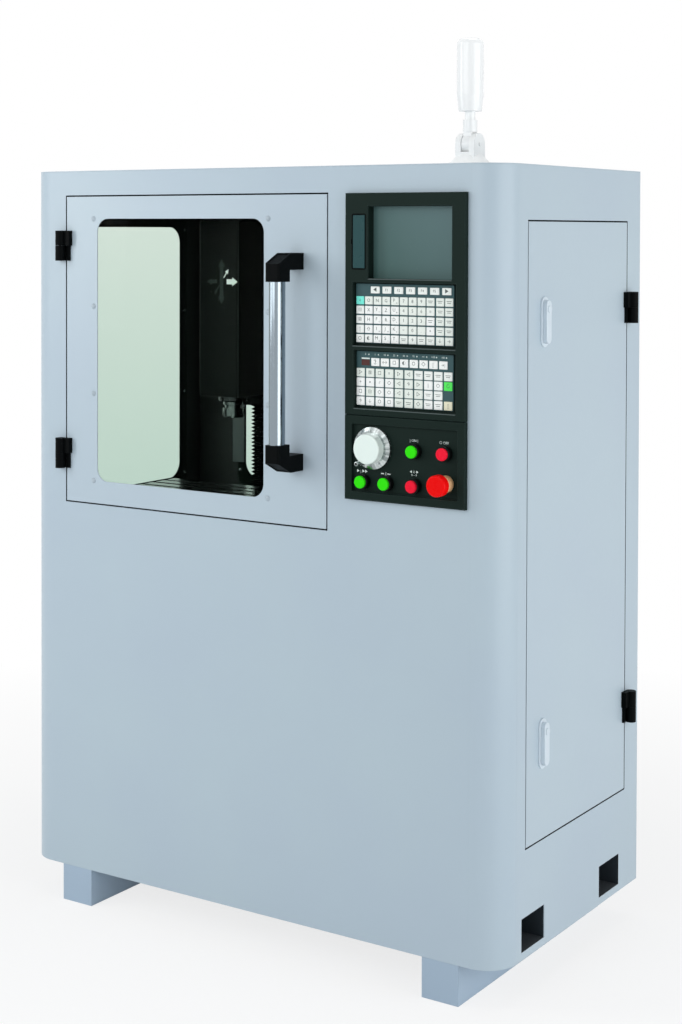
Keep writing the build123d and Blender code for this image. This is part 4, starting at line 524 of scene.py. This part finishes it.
dressed = {
    "shellPaint": ["front_shell", "left_panel", "right_panel", "rear_panel", "top_panel"],
    "doorPaint": ["front_door", "side_door", "base_pan"],
    "pocketPaintedShade": ["fork_tubes"],
    "footPaintedShade": ["foot_rails"],
    "paintedShadeLining": ["partition", "door_rebates", "chip_tray", "pedestal"],
    "coverPaintedShadeAndGlint": ["head_cover"],
    "castingPaintedShade": ["bed", "saddle", "column", "head"],
    "groundSteel": ["table"],
    "turnedSteel": ["x_screw", "y_screw", "z_screw"],
    "holderSteel": ["tool_holder"],
    "blackedSteel": ["spindle"],
    "polishedTube": ["handle_tube"],
    "blackCasting": ["handle_brackets", "frame_hinges", "front_door_hinges", "side_door_hinges"],
    "panelMouldingLitEdges": ["panel_frame", "operator_panel"],
    "portFlap": ["port_cover"],
    "wheelMetal": ["handwheel", "crank_knob"],
    "latchPaint": ["latch_plates", "upper_latch", "lower_latch"],
    "lampShell": ["lamp_body"],
    "lampFoot": ["lamp_base"],
    "motorPaint": ["axis_motors", "x_motor", "spindle_motor"],
    "gearHousing": ["electrical_gear"],
    "blackRubber": ["door_seals", "z_bellows"],
    "bezelPlastic": ["button_bezels"],
    "greenCap": ["on_button", "start_button", "hold_button"],
    "redCap": ["off_button", "release_button"],
    "stopCap": ["estop_head"],
    "collarPlastic": ["estop_collar", "estop_stem"],
    "paintedScrew": ["door_screws"],
    "padFilm": ["keypads"],
}
dressing = [(finish[name], members) for name, members in dressed.items()]
dressing += [(windowPane, ["door_window", "side_windows"]), (screenGlass, ["screen"])]
for material, members in dressing:
    for member in members:
        mesh = nodes[member].data
        for index in range(max(1, len(mesh.materials))):
            if len(mesh.materials) <= index:
                mesh.materials.append(material)
            else:
                mesh.materials[index] = material
print("nodes dressed:", sum(len(members) for _, members in dressing))

# shapes for the pieces that are added; they are worked out in cabinet millimetres

def ringFaces(rows, columns):  # quads between closed rings of points, row after row
    column = np.arange(columns)
    low = np.arange(rows - 1)[:, None] * columns
    here, beside = low + column, low + (column + 1) % columns
    return np.stack([here, beside, beside + columns, here + columns], -1).reshape(-1, 4)


def capped(rings):  # rows of closed rings made one wall, with a flat face that closes each end
    rows, columns = rings.shape[:2]
    first = np.arange(columns)[::-1][None]
    return rings.reshape(-1, 3), [ringFaces(rows, columns), first, first[:, ::-1] + (rows - 1) * columns]


def stamped(shape, spots):  # one shape repeated: its points moved to each spot
    points, groups = shape
    spots = np.asarray(spots, float)
    every = (points[None] + spots[:, None]).reshape(-1, 3)
    steps = np.arange(len(spots))[:, None, None] * len(points)
    return every, [(group[None] + steps).reshape(-1, group.shape[1]) for group in groups]


def joined(shapes):  # shapes laid one after the other as one mesh
    starts = np.cumsum([0] + [len(points) for points, _ in shapes])
    groups = [group + start for (_, members), start in zip(shapes, starts) for group in members]
    return np.concatenate([points for points, _ in shapes]), groups


def padSurface(width, height, radius, rings, arc=3):
    # a rounded rectangle facing the front: four corner arcs, drawn in by each ring's inset and raised by its rise
    angle = (np.arange(4)[:, None] * math.pi / 2 + np.linspace(0, math.pi / 2, arc)).ravel()
    sideX, sideZ = np.repeat([1, -1, -1, 1], arc), np.repeat([1, 1, -1, -1], arc)
    inset, rise = np.array(rings, float).T[:, :, None]
    bend = np.maximum(radius - inset, 0.05)
    x = sideX * (width / 2 - inset - bend) + np.cos(angle) * bend
    z = sideZ * (height / 2 - inset - bend) + np.sin(angle) * bend
    return capped(np.stack([x, -rise + 0 * x, z], -1))


def slab(outline, face, thick):  # a convex outline in x and z, given a thickness towards the front from the face
    flat = np.asarray(outline, float)
    levels = [np.stack([flat[:, 0], np.full(len(flat), y), flat[:, 1]], -1) for y in (face, face - thick)]
    return capped(np.stack(levels))


def bar(x, z, width, height, face, thick=0.06):
    corners = np.array([(-1, -1), (1, -1), (1, 1), (-1, 1)]) * (width / 2, height / 2) + (x, z)
    return slab(corners, face, thick)


glyphs = {}


def lettering(text):  # the outline of one letter or mark, one unit high, made a closed mesh that faces the front
    if text not in glyphs:
        curve = bpy.data.curves.new("legend", "FONT")
        curve.body, curve.size, curve.resolution_u, curve.extrude = text, 1.0, 2, 0.05
        curve.align_x, curve.align_y = "CENTER", "CENTER"
        holder = bpy.data.objects.new("legend", curve)
        bpy.context.scene.collection.objects.link(holder)
        bpy.context.view_layer.update()
        flat = bpy.data.meshes.new_from_object(holder.evaluated_get(bpy.context.evaluated_depsgraph_get()))
        shell = bmesh.new()
        shell.from_mesh(flat)
        bmesh.ops.remove_doubles(shell, verts=shell.verts, dist=1e-4)
        bmesh.ops.triangulate(shell, faces=shell.faces)
        shell.to_mesh(flat)
        shell.free()
        points, corners = np.zeros(len(flat.vertices) * 3), np.zeros(len(flat.loops), int)
        flat.vertices.foreach_get("co", points)
        flat.loops.foreach_get("vertex_index", corners)
        x, y, z = points.reshape(-1, 3).T
        glyphs[text] = np.stack([x, -z, y], -1), [corners.reshape(-1, 3)]
        bpy.data.objects.remove(holder)
        bpy.data.curves.remove(curve)
        bpy.data.meshes.remove(flat)
    return glyphs[text]


def printed(text, x, z, face, size, turn=0.0, thick=0.06):  # a legend on a front face, turned clockwise
    points, groups = lettering(text)
    across, out, up = (points * (size, thick / 0.1, size)).T
    c, s = math.cos(turn), math.sin(turn)
    return np.stack([x + across * c + up * s, face - thick / 2 + out, z - across * s + up * c], -1), groups


def finished(name, shape, body, material, stands=(), tones=None):
    # a mesh in the row frame with outward faces, sharp where it bends by more than a third of a right angle
    points, groups = shape
    mesh = bpy.data.meshes.new(name)
    mesh.from_pydata((points * mm + np.array(corner)).tolist(), [], [row for group in groups for row in group.tolist()])
    shell = bmesh.new()
    shell.from_mesh(mesh)
    bmesh.ops.recalc_face_normals(shell, faces=shell.faces)
    shell.to_mesh(mesh)
    shell.free()
    mesh.polygons.foreach_set("use_smooth", np.ones(len(mesh.polygons), bool))
    mesh.set_sharp_from_angle(angle=math.radians(30))
    if tones is not None:
        mesh.attributes.new("tone", "FLOAT", "POINT").data.foreach_set("value", tones.astype(np.float32))
    mesh.materials.append(material)
    piece = bpy.data.objects.new(name, mesh)
    bpy.context.scene.collection.objects.link(piece)
    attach(piece, body)
    if stands:
        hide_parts(*stands)
    return piece


# the two keypads: film sheets, dome keys with their legends, the display window and its row of marks

pads = {"filmBack": 3.0, "filmFace": 0.0, "keyRadius": 1.0, "keyRings": [(0, -0.4), (0, 0.9), (0.35, 1.4), (1.1, 1.6)],
        "letter": 9.2, "small": 4.0, "inkDepth": 0.06}
keyFace = -1.6
editPad = {"left": 860.2, "bottom": 1245.3, "step": (19.7, 18.4), "key": (17.4, 15.6), "split": 1.4, "film": (858.5, 1244, 1077.5, 1359)}
runPad = {"left": 861.2, "bottom": 1123.7, "step": (21.7, 18.4), "key": (18.4, 16.6), "split": 0.0, "film": (860, 1122.5, 1076.5, 1228.5)}
softKeys = {"left": 893.0, "bottom": 1340.5, "step": 26.5, "key": (20.0, 13.5), "legends": "◄ F1 F2 F3 F4 F5 ►"}
modeKeys = {"left": 894.6, "bottom": 1200.5, "step": 21.6, "key": (18.3, 15.4), "legends": "↕ ↔ □ ◐ ○ ◇ ▯ →|"}
display = {"left": 872.0, "bottom": 1201.0, "size": (18.4, 11.5), "bar": 2.6, "markZ": 1222.4}
editLegends = ["// O N G P.Q 7 8 9 _ _ _", "▤ X Y.V Z U.W 4 5 6 = _ _", "▦ H F.E R D.L 1 2 3 _ _ _",
               "▯ ⇧ I.A J.B K.C − 0 . + _ _", "○ ◐ M.# S.* T.= _ ↑ _ _ ↓ →"]
runLegends = ["▷ ▦ □ = ▷ ◁ _ _ _ _", "+ × // ○ ◁ ↑ ▷ | ○ ↻", "□ ▤ ◇ ○ ◁ ↓ ▷ _ _", "↑ ↓ ○ □ _ _ ◇ _ _ ▯"]
editTones = ["66666666666", "20000666466", "20000666066", "20000666066", "22000444466"]
runTones = ["7777773333", "0000777003", "0700777220", "0000777002"]


def keyAt(pad, column, row, rows):  # the middle of a key, rows counted from the top
    stepX, stepZ = pad["step"]
    x = pad["left"] + column * stepX + pad["key"][0] / 2 + (pad["split"] if column > 8 else 0)
    return x, pad["bottom"] + (rows - 1 - row) * stepZ + pad["key"][1] / 2


def legend(token, x, z, width):
    # an underscore stands for a short word, shown as two lines; a full stop splits off a small second letter
    if token == "_":
        return [bar(x, z + 1.9, width * 0.62, 1.0, keyFace), bar(x, z - 1.3, width * 0.46, 1.0, keyFace)]
    main, _, second = token.partition(".") if len(token) > 1 else (token, "", "")
    size = pads["letter"] if len(main) < 2 else pads["letter"] * 0.8
    shapes = [printed(main, x - (1.6 if second else 0), z + (1.2 if second else 0), keyFace, size)]
    if second:
        shapes.append(printed(second, x + 4.6, z - 3.6, keyFace, pads["small"]))
    return shapes


films = []
for pad in (editPad, runPad):
    left, bottom, right, top = pad["film"]
    sheet, groups = padSurface(right - left, top - bottom, 2.0, [(0, -pads["filmBack"]), (0, -0.4), (0.4, 0)])
    films.append((sheet + (((left + right) / 2, pads["filmFace"], (bottom + top) / 2)), groups))
finished("padFilms", joined(films), "cabinet", finish["padFilm"], ["keypads"])

paleKeys, paleTones, inked, tinted = [], [], [], {"turquoiseKey": [], "greenKey": [], "beigeKey": []}
for pad, rows, tones in ((editPad, editLegends, editTones), (runPad, runLegends, runTones)):
    dome = padSurface(*pad["key"], pads["keyRadius"], pads["keyRings"])
    for row, line in enumerate(rows):
        for column, token in enumerate(line.split()):
            if pad is runPad and (column, row) == (9, 2):
                continue  # the film is bare there
            x, z = keyAt(pad, column, row, len(rows))
            shape = stamped(dome, [(x, 0, z)])
            special = {(0, 0): "turquoiseKey"} if pad is editPad else {(9, 1): "greenKey", (9, 3): "beigeKey"}
            if (column, row) in special:
                tinted[special[column, row]].append(shape)
            else:
                paleKeys.append(shape)
                paleTones.append(np.full(len(shape[0]), int(tones[row][column]) / 9))
            inked += legend(token, x, z, pad["key"][0])
for strip in (softKeys, modeKeys):
    dome = padSurface(*strip["key"], pads["keyRadius"], pads["keyRings"])
    for column, token in enumerate(strip["legends"].split()):
        x = strip["left"] + strip["step"] * column + strip["key"][0] / 2
        z = strip["bottom"] + strip["key"][1] / 2
        paleKeys.append(stamped(dome, [(x, 0, z)]))
        paleTones.append(np.full(len(dome[0]), 0.35 if strip is softKeys else 0.0))
        inked += legend(token, x, z, strip["key"][0])
finished("paleKeys", joined(paleKeys), "cabinet", finish["domeKey"], tones=np.concatenate(paleTones))
for name, shapes in tinted.items():
    finished(name, joined(shapes), "cabinet", finish[name])
finished("keyLegends", joined(inked), "cabinet", finish["keyInk"])

windowX, windowZ = display["left"] + display["size"][0] / 2, display["bottom"] + display["size"][1] / 2
glass = padSurface(*display["size"], 0.8, [(0, -0.2), (0, 0.3), (0.3, 0.5)])
finished("displayWindow", stamped(glass, [(windowX, 0, windowZ)]), "cabinet", finish["displayFilm"])
marks = [bar(windowX, display["bottom"] + display["size"][1] + 2.0, display["size"][0], display["bar"], 0.0)]
for column, text in enumerate("0 1 10 25 50 75 ×1 ×10 100".split()):
    x = display["left"] + 9 + column * modeKeys["step"]
    marks.append(printed(text, x, display["markZ"], 0.0, 5.0))
    marks.append(bar(x + 7.5, display["markZ"], 2.2, 2.2, 0.0))
finished("padMarks", joined(marks), "cabinet", finish["whiteInk"])
print("keypads made:", len(paleKeys), "pale keys,", len(inked), "legend shapes")

# words and signs on the operator plate, all of them plain control signs

plate = {"face": -3.0, "size": 7.0, "onAt": (992.5, 1062.2), "offAt": (1058.5, 1062.2), "startAt": (876.0, 995.6),
         "holdAt": (929.5, 995.0), "releaseAt": (993.0, 999.5), "rows": 3.1}
signs = [("onAt", "| ON |", 0), ("offAt", "○ OFF", 0), ("startAt", "► | ►►", 0), ("holdAt", "▬ || ▬", 0),
         ("releaseAt", "◄ ○ ►", plate["rows"]), ("releaseAt", "0 – 9", -plate["rows"])]
finished("plateSigns", joined([printed(text, plate[at][0], plate[at][1] + lift, plate["face"],
                                       plate["size"] if lift == 0 else plate["size"] * 0.86)
                               for at, text, lift in signs]), "cabinet", finish["whiteInk"])

# the pulse wheel's numbers, one for every fifth notch, standing radially on its front ring

wheel = {"centre": (902.0, 1042.5), "face": -14.3, "radius": 33.4, "size": 6.0, "count": 10}
numbers = []
for index in range(wheel["count"]):
    turn = 2 * math.pi * index / wheel["count"]
    x = wheel["centre"][0] + wheel["radius"] * math.sin(turn)
    z = wheel["centre"][1] + wheel["radius"] * math.cos(turn)
    numbers.append(printed(str(index * 10), x, z, wheel["face"], wheel["size"], turn))
finished("wheelNumbers", joined(numbers), "handwheel", finish["keyInk"])

# axis arrows on the head cover: those on the cover's left are near black as painted shadow, those on its right pure
# white as painted light

arrows = {"face": 184.0, "centre": (392.6, 1350.0), "up": 49, "side": 40, "shaft": 9.5, "head": 20, "headLong": 17}


def arrow(length, shaft, head, headLong, angle, start=0.0):
    # pointing up before it is turned clockwise: a shaft and a triangle, as two convex slabs
    pieces = []
    neck = length - headLong
    for outline in ([(-shaft / 2, start), (shaft / 2, start), (shaft / 2, neck), (-shaft / 2, neck)],
                    [(-head / 2, neck), (head / 2, neck), (0, length)]):
        across, up = np.array(outline, float).T
        c, s = math.cos(angle), math.sin(angle)
        spun = np.stack([across * c + up * s, up * c - across * s], -1) + arrows["centre"]
        pieces.append(slab(spun, arrows["face"], 0.15))
    return joined(pieces)


quarter = math.pi / 2
shadedArrows = [arrow(arrows["up"], arrows["shaft"], arrows["head"], arrows["headLong"], turn) for turn in (0, 2 * quarter)]
shadedArrows.append(arrow(arrows["side"], 8, 14, 13, -quarter, start=12))
shadedArrows.append(arrow(34, 3, 9, 9, math.radians(215), start=10))
finished("headArrowsShaded", joined(shadedArrows), "head_slide", finish["shadedInk"])
litArrows = [arrow(43, 11, 19, 14, quarter, start=14), arrow(33, 2.2, 10, 10, math.radians(35), start=10)]
finished("headArrowsLit", joined(litArrows), "head_slide", finish["litInk"])
print("signs, wheel numbers and axis arrows made")

# ball screws: the thread is a round groove whose depth follows the place along the rod and the angle round it

screwLook = {"radius": 8.0, "journal": 6.0, "pitch": 5.0, "groove": 1.1, "perPitch": 7, "columns": 20, "hand": -1}


def ballScrew(start, axis, length, journalBefore, journalAfter):
    look = screwLook
    rows = int(length / look["pitch"] * look["perPitch"])
    along = np.linspace(1.0, length - 1.0, rows)
    angle = np.arange(look["columns"]) / look["columns"] * 2 * math.pi
    phase = (along[:, None] / look["pitch"] - look["hand"] * angle / (2 * math.pi)) % 1
    groove = np.sqrt(np.clip(1 - ((phase - 0.5) / 0.36) ** 2, 0, 1))
    fade = np.clip(np.minimum(along, length - along) / 12, 0, 1)[:, None]
    thread = look["radius"] - look["groove"] * groove * fade
    ends = [(-journalBefore, look["journal"]), (0, look["journal"]), (0, look["radius"] - 1)]
    after = [(length, look["radius"] - 1), (length, look["journal"]), (length + journalAfter, look["journal"])]
    level = np.concatenate([[s for s, _ in ends], along, [s for s, _ in after]])
    full = np.ones(look["columns"])
    radius = np.concatenate([[r * full for _, r in ends], thread, [r * full for _, r in after]])
    across, aside = np.roll(np.eye(3)[axis], 1), np.roll(np.eye(3)[axis], 2)
    spun = radius[..., None] * (np.cos(angle)[:, None] * across + np.sin(angle)[:, None] * aside)
    return capped(spun + level[:, None, None] * np.eye(3)[axis] + np.array(start))


shoulders = {"x_screw": (6.7, 32.0), "y_screw": (32.0, 6.7), "z_screw": (7.0, 38.0)}
for axis, name in enumerate(shoulders):
    low, high = ((np.array(end) - np.array(corner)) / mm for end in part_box(name))
    centre = (low + high) / 2
    centre[axis] = low[axis] + shoulders[name][0]
    rod = ballScrew(centre, axis, high[axis] - low[axis] - sum(shoulders[name]), *shoulders[name])
    finished(name + "Thread", rod, name, finish["turnedSteel"], [name])
print("ball screws cut")

# small screws: heads turned round their axis, with a hexagon socket or a dome


def headRings(kind, radius, height, columns=12):
    # a ring's radius is plain, or follows a hexagon: its flat's distance over the cosine of the angle from the flat's middle
    angle = np.arange(columns) / columns * 2 * math.pi
    round_, hexagon = np.ones(columns), 1 / np.cos((angle + math.pi / 6) % (math.pi / 3) - math.pi / 6)
    if kind == "socket":
        rows = [(radius * round_, 0), (radius * round_, 0.88), (0.9 * radius * round_, 1),
                (0.48 * radius * hexagon, 1), (0.48 * radius * hexagon, 0.4)]
    else:
        rows = [(radius * round_, 0), (0.94 * radius * round_, 0.4), (0.7 * radius * round_, 0.85),
                (0.3 * radius * round_, 1)]
    reach = np.stack([r for r, _ in rows])
    level = np.array([share for _, share in rows])[:, None] * height + 0 * reach
    return np.stack([reach * np.cos(angle), reach * np.sin(angle), level], -1)


def facing(rings, axis, sign):  # what points up is turned to point along an axis
    return capped(np.roll(rings * (1, 1, sign), axis + 1, axis=-1))


def fourAround(centre, reach, axis):  # four spots at the corners of a square across the axis
    others = [i for i in range(3) if i != axis]
    spots = np.tile(np.asarray(centre, float), (4, 1))
    spots[:, others] += np.array([(-1, -1), (1, -1), (1, 1), (-1, 1)]) * reach
    return spots


screwSets = [
    ("paneScrews", "cabinet", "hinge_black", "dullScrew", [
        ("dome", 3.8, 2.0, 0, 1, [(8, y, 868 + 198.3 * row) for y in (90, 541) for row in range(4)]),
        ("dome", 3.8, 2.0, 1, -1, [(x, y, 876 + 196.0 * row) for x, y in ((133, 603.6), (635, 605)) for row in range(4)])]),
    ("motorScrews", "cabinet", "motor_black", "blackScrew", [
        ("socket", 2.8, 2.6, 1, -1, fourAround((384, 41, 726), 19, 1)),
        ("socket", 3.2, 3.0, 2, 1, fourAround((384, 446, 1560), 26, 2))]),
    ("crossMotorScrews", "saddle_slide", "motor_black", "blackScrew", [
        ("socket", 2.8, 2.6, 0, 1, fourAround((620, 240, 800), 19, 0))]),
    ("noseScrews", "head_slide", "head_paint", "blackScrew", [
        ("socket", 3.0, 3.0, 2, -1, fourAround((384, 240, 1100), 28, 2))]),
]
for name, body, slotName, look, rows in screwSets:
    heads = [stamped(facing(headRings(kind, radius, height), axis, sign), spots)
             for kind, radius, height, axis, sign, spots in rows]
    finished(name, joined(heads), body, finish[look])
print("small screws placed")

# thin trims: the wiper under the carriage, a grey strip beside the rear window that is painted light on the rear wall,
# lighter bars under the panel recesses as painted highlights, the seal round the port, the knob's screw

trims = {"wiper": (304, 464, 384.3, 391.6, 1062, 1107.8), "strip": (109, 143.5, 603.6, 605, 894, 1460),
         "rimHighlights": [(892, 1077, 1369), (857, 1086, 1239), (860, 1086, 1118)], "rimHighlight": 1.8,
         "port": (870.75, 1440.0), "portSize": (28.7, 104.2), "portRim": 2.0, "portFace": -10.0, "knob": (884.0, 1013.7)}


def trimBox(left, right, front, back, bottom, top, bevel=0.6):
    plateShape, groups = padSurface(right - left, top - bottom, 1.5, [(0, 0), (0, back - front - bevel), (bevel, back - front)])
    return plateShape + ((left + right) / 2, back, (bottom + top) / 2), groups


finished("carriageWiper", trimBox(*trims["wiper"]), "head_slide", finish["blackRubber"])
finished("rearLitPatch", trimBox(*trims["strip"]), "cabinet", finish["rearLitPatchPaint"])
# thin lighter bars under each panel recess: painted highlights along the lower rims
rimHighlights = [bar((left + right) / 2, bottom - trims["rimHighlight"] / 2, right - left, trims["rimHighlight"], trims["portFace"], 0.25)
         for left, right, bottom in trims["rimHighlights"]]
finished("recessRimHighlights", joined(rimHighlights), "cabinet", finish["rimHighlightPaint"])
width, height = trims["portSize"]
rim = padSurface(width, height, 2.5, [(0, -0.1), (0, 0.3), (-trims["portRim"] + 0.3, 0.4), (-trims["portRim"], 0.2), (-trims["portRim"], -0.1)], arc=4)
rows = 5
rimPoints = rim[0] + (trims["port"][0], trims["portFace"], trims["port"][1])
loop = ringFaces(rows + 1, len(rimPoints) // rows) % len(rimPoints)
finished("portSeal", (rimPoints, [loop]), "cabinet", finish["blackRubber"])
disc = facing(headRings("socket", 2.4, 0.3), 1, -1)
finished("knobScrew", stamped(disc, [(trims["knob"][0], -38.6, trims["knob"][1])]), "crank_knob",
         finish["blackScrew"])
print("trims placed")
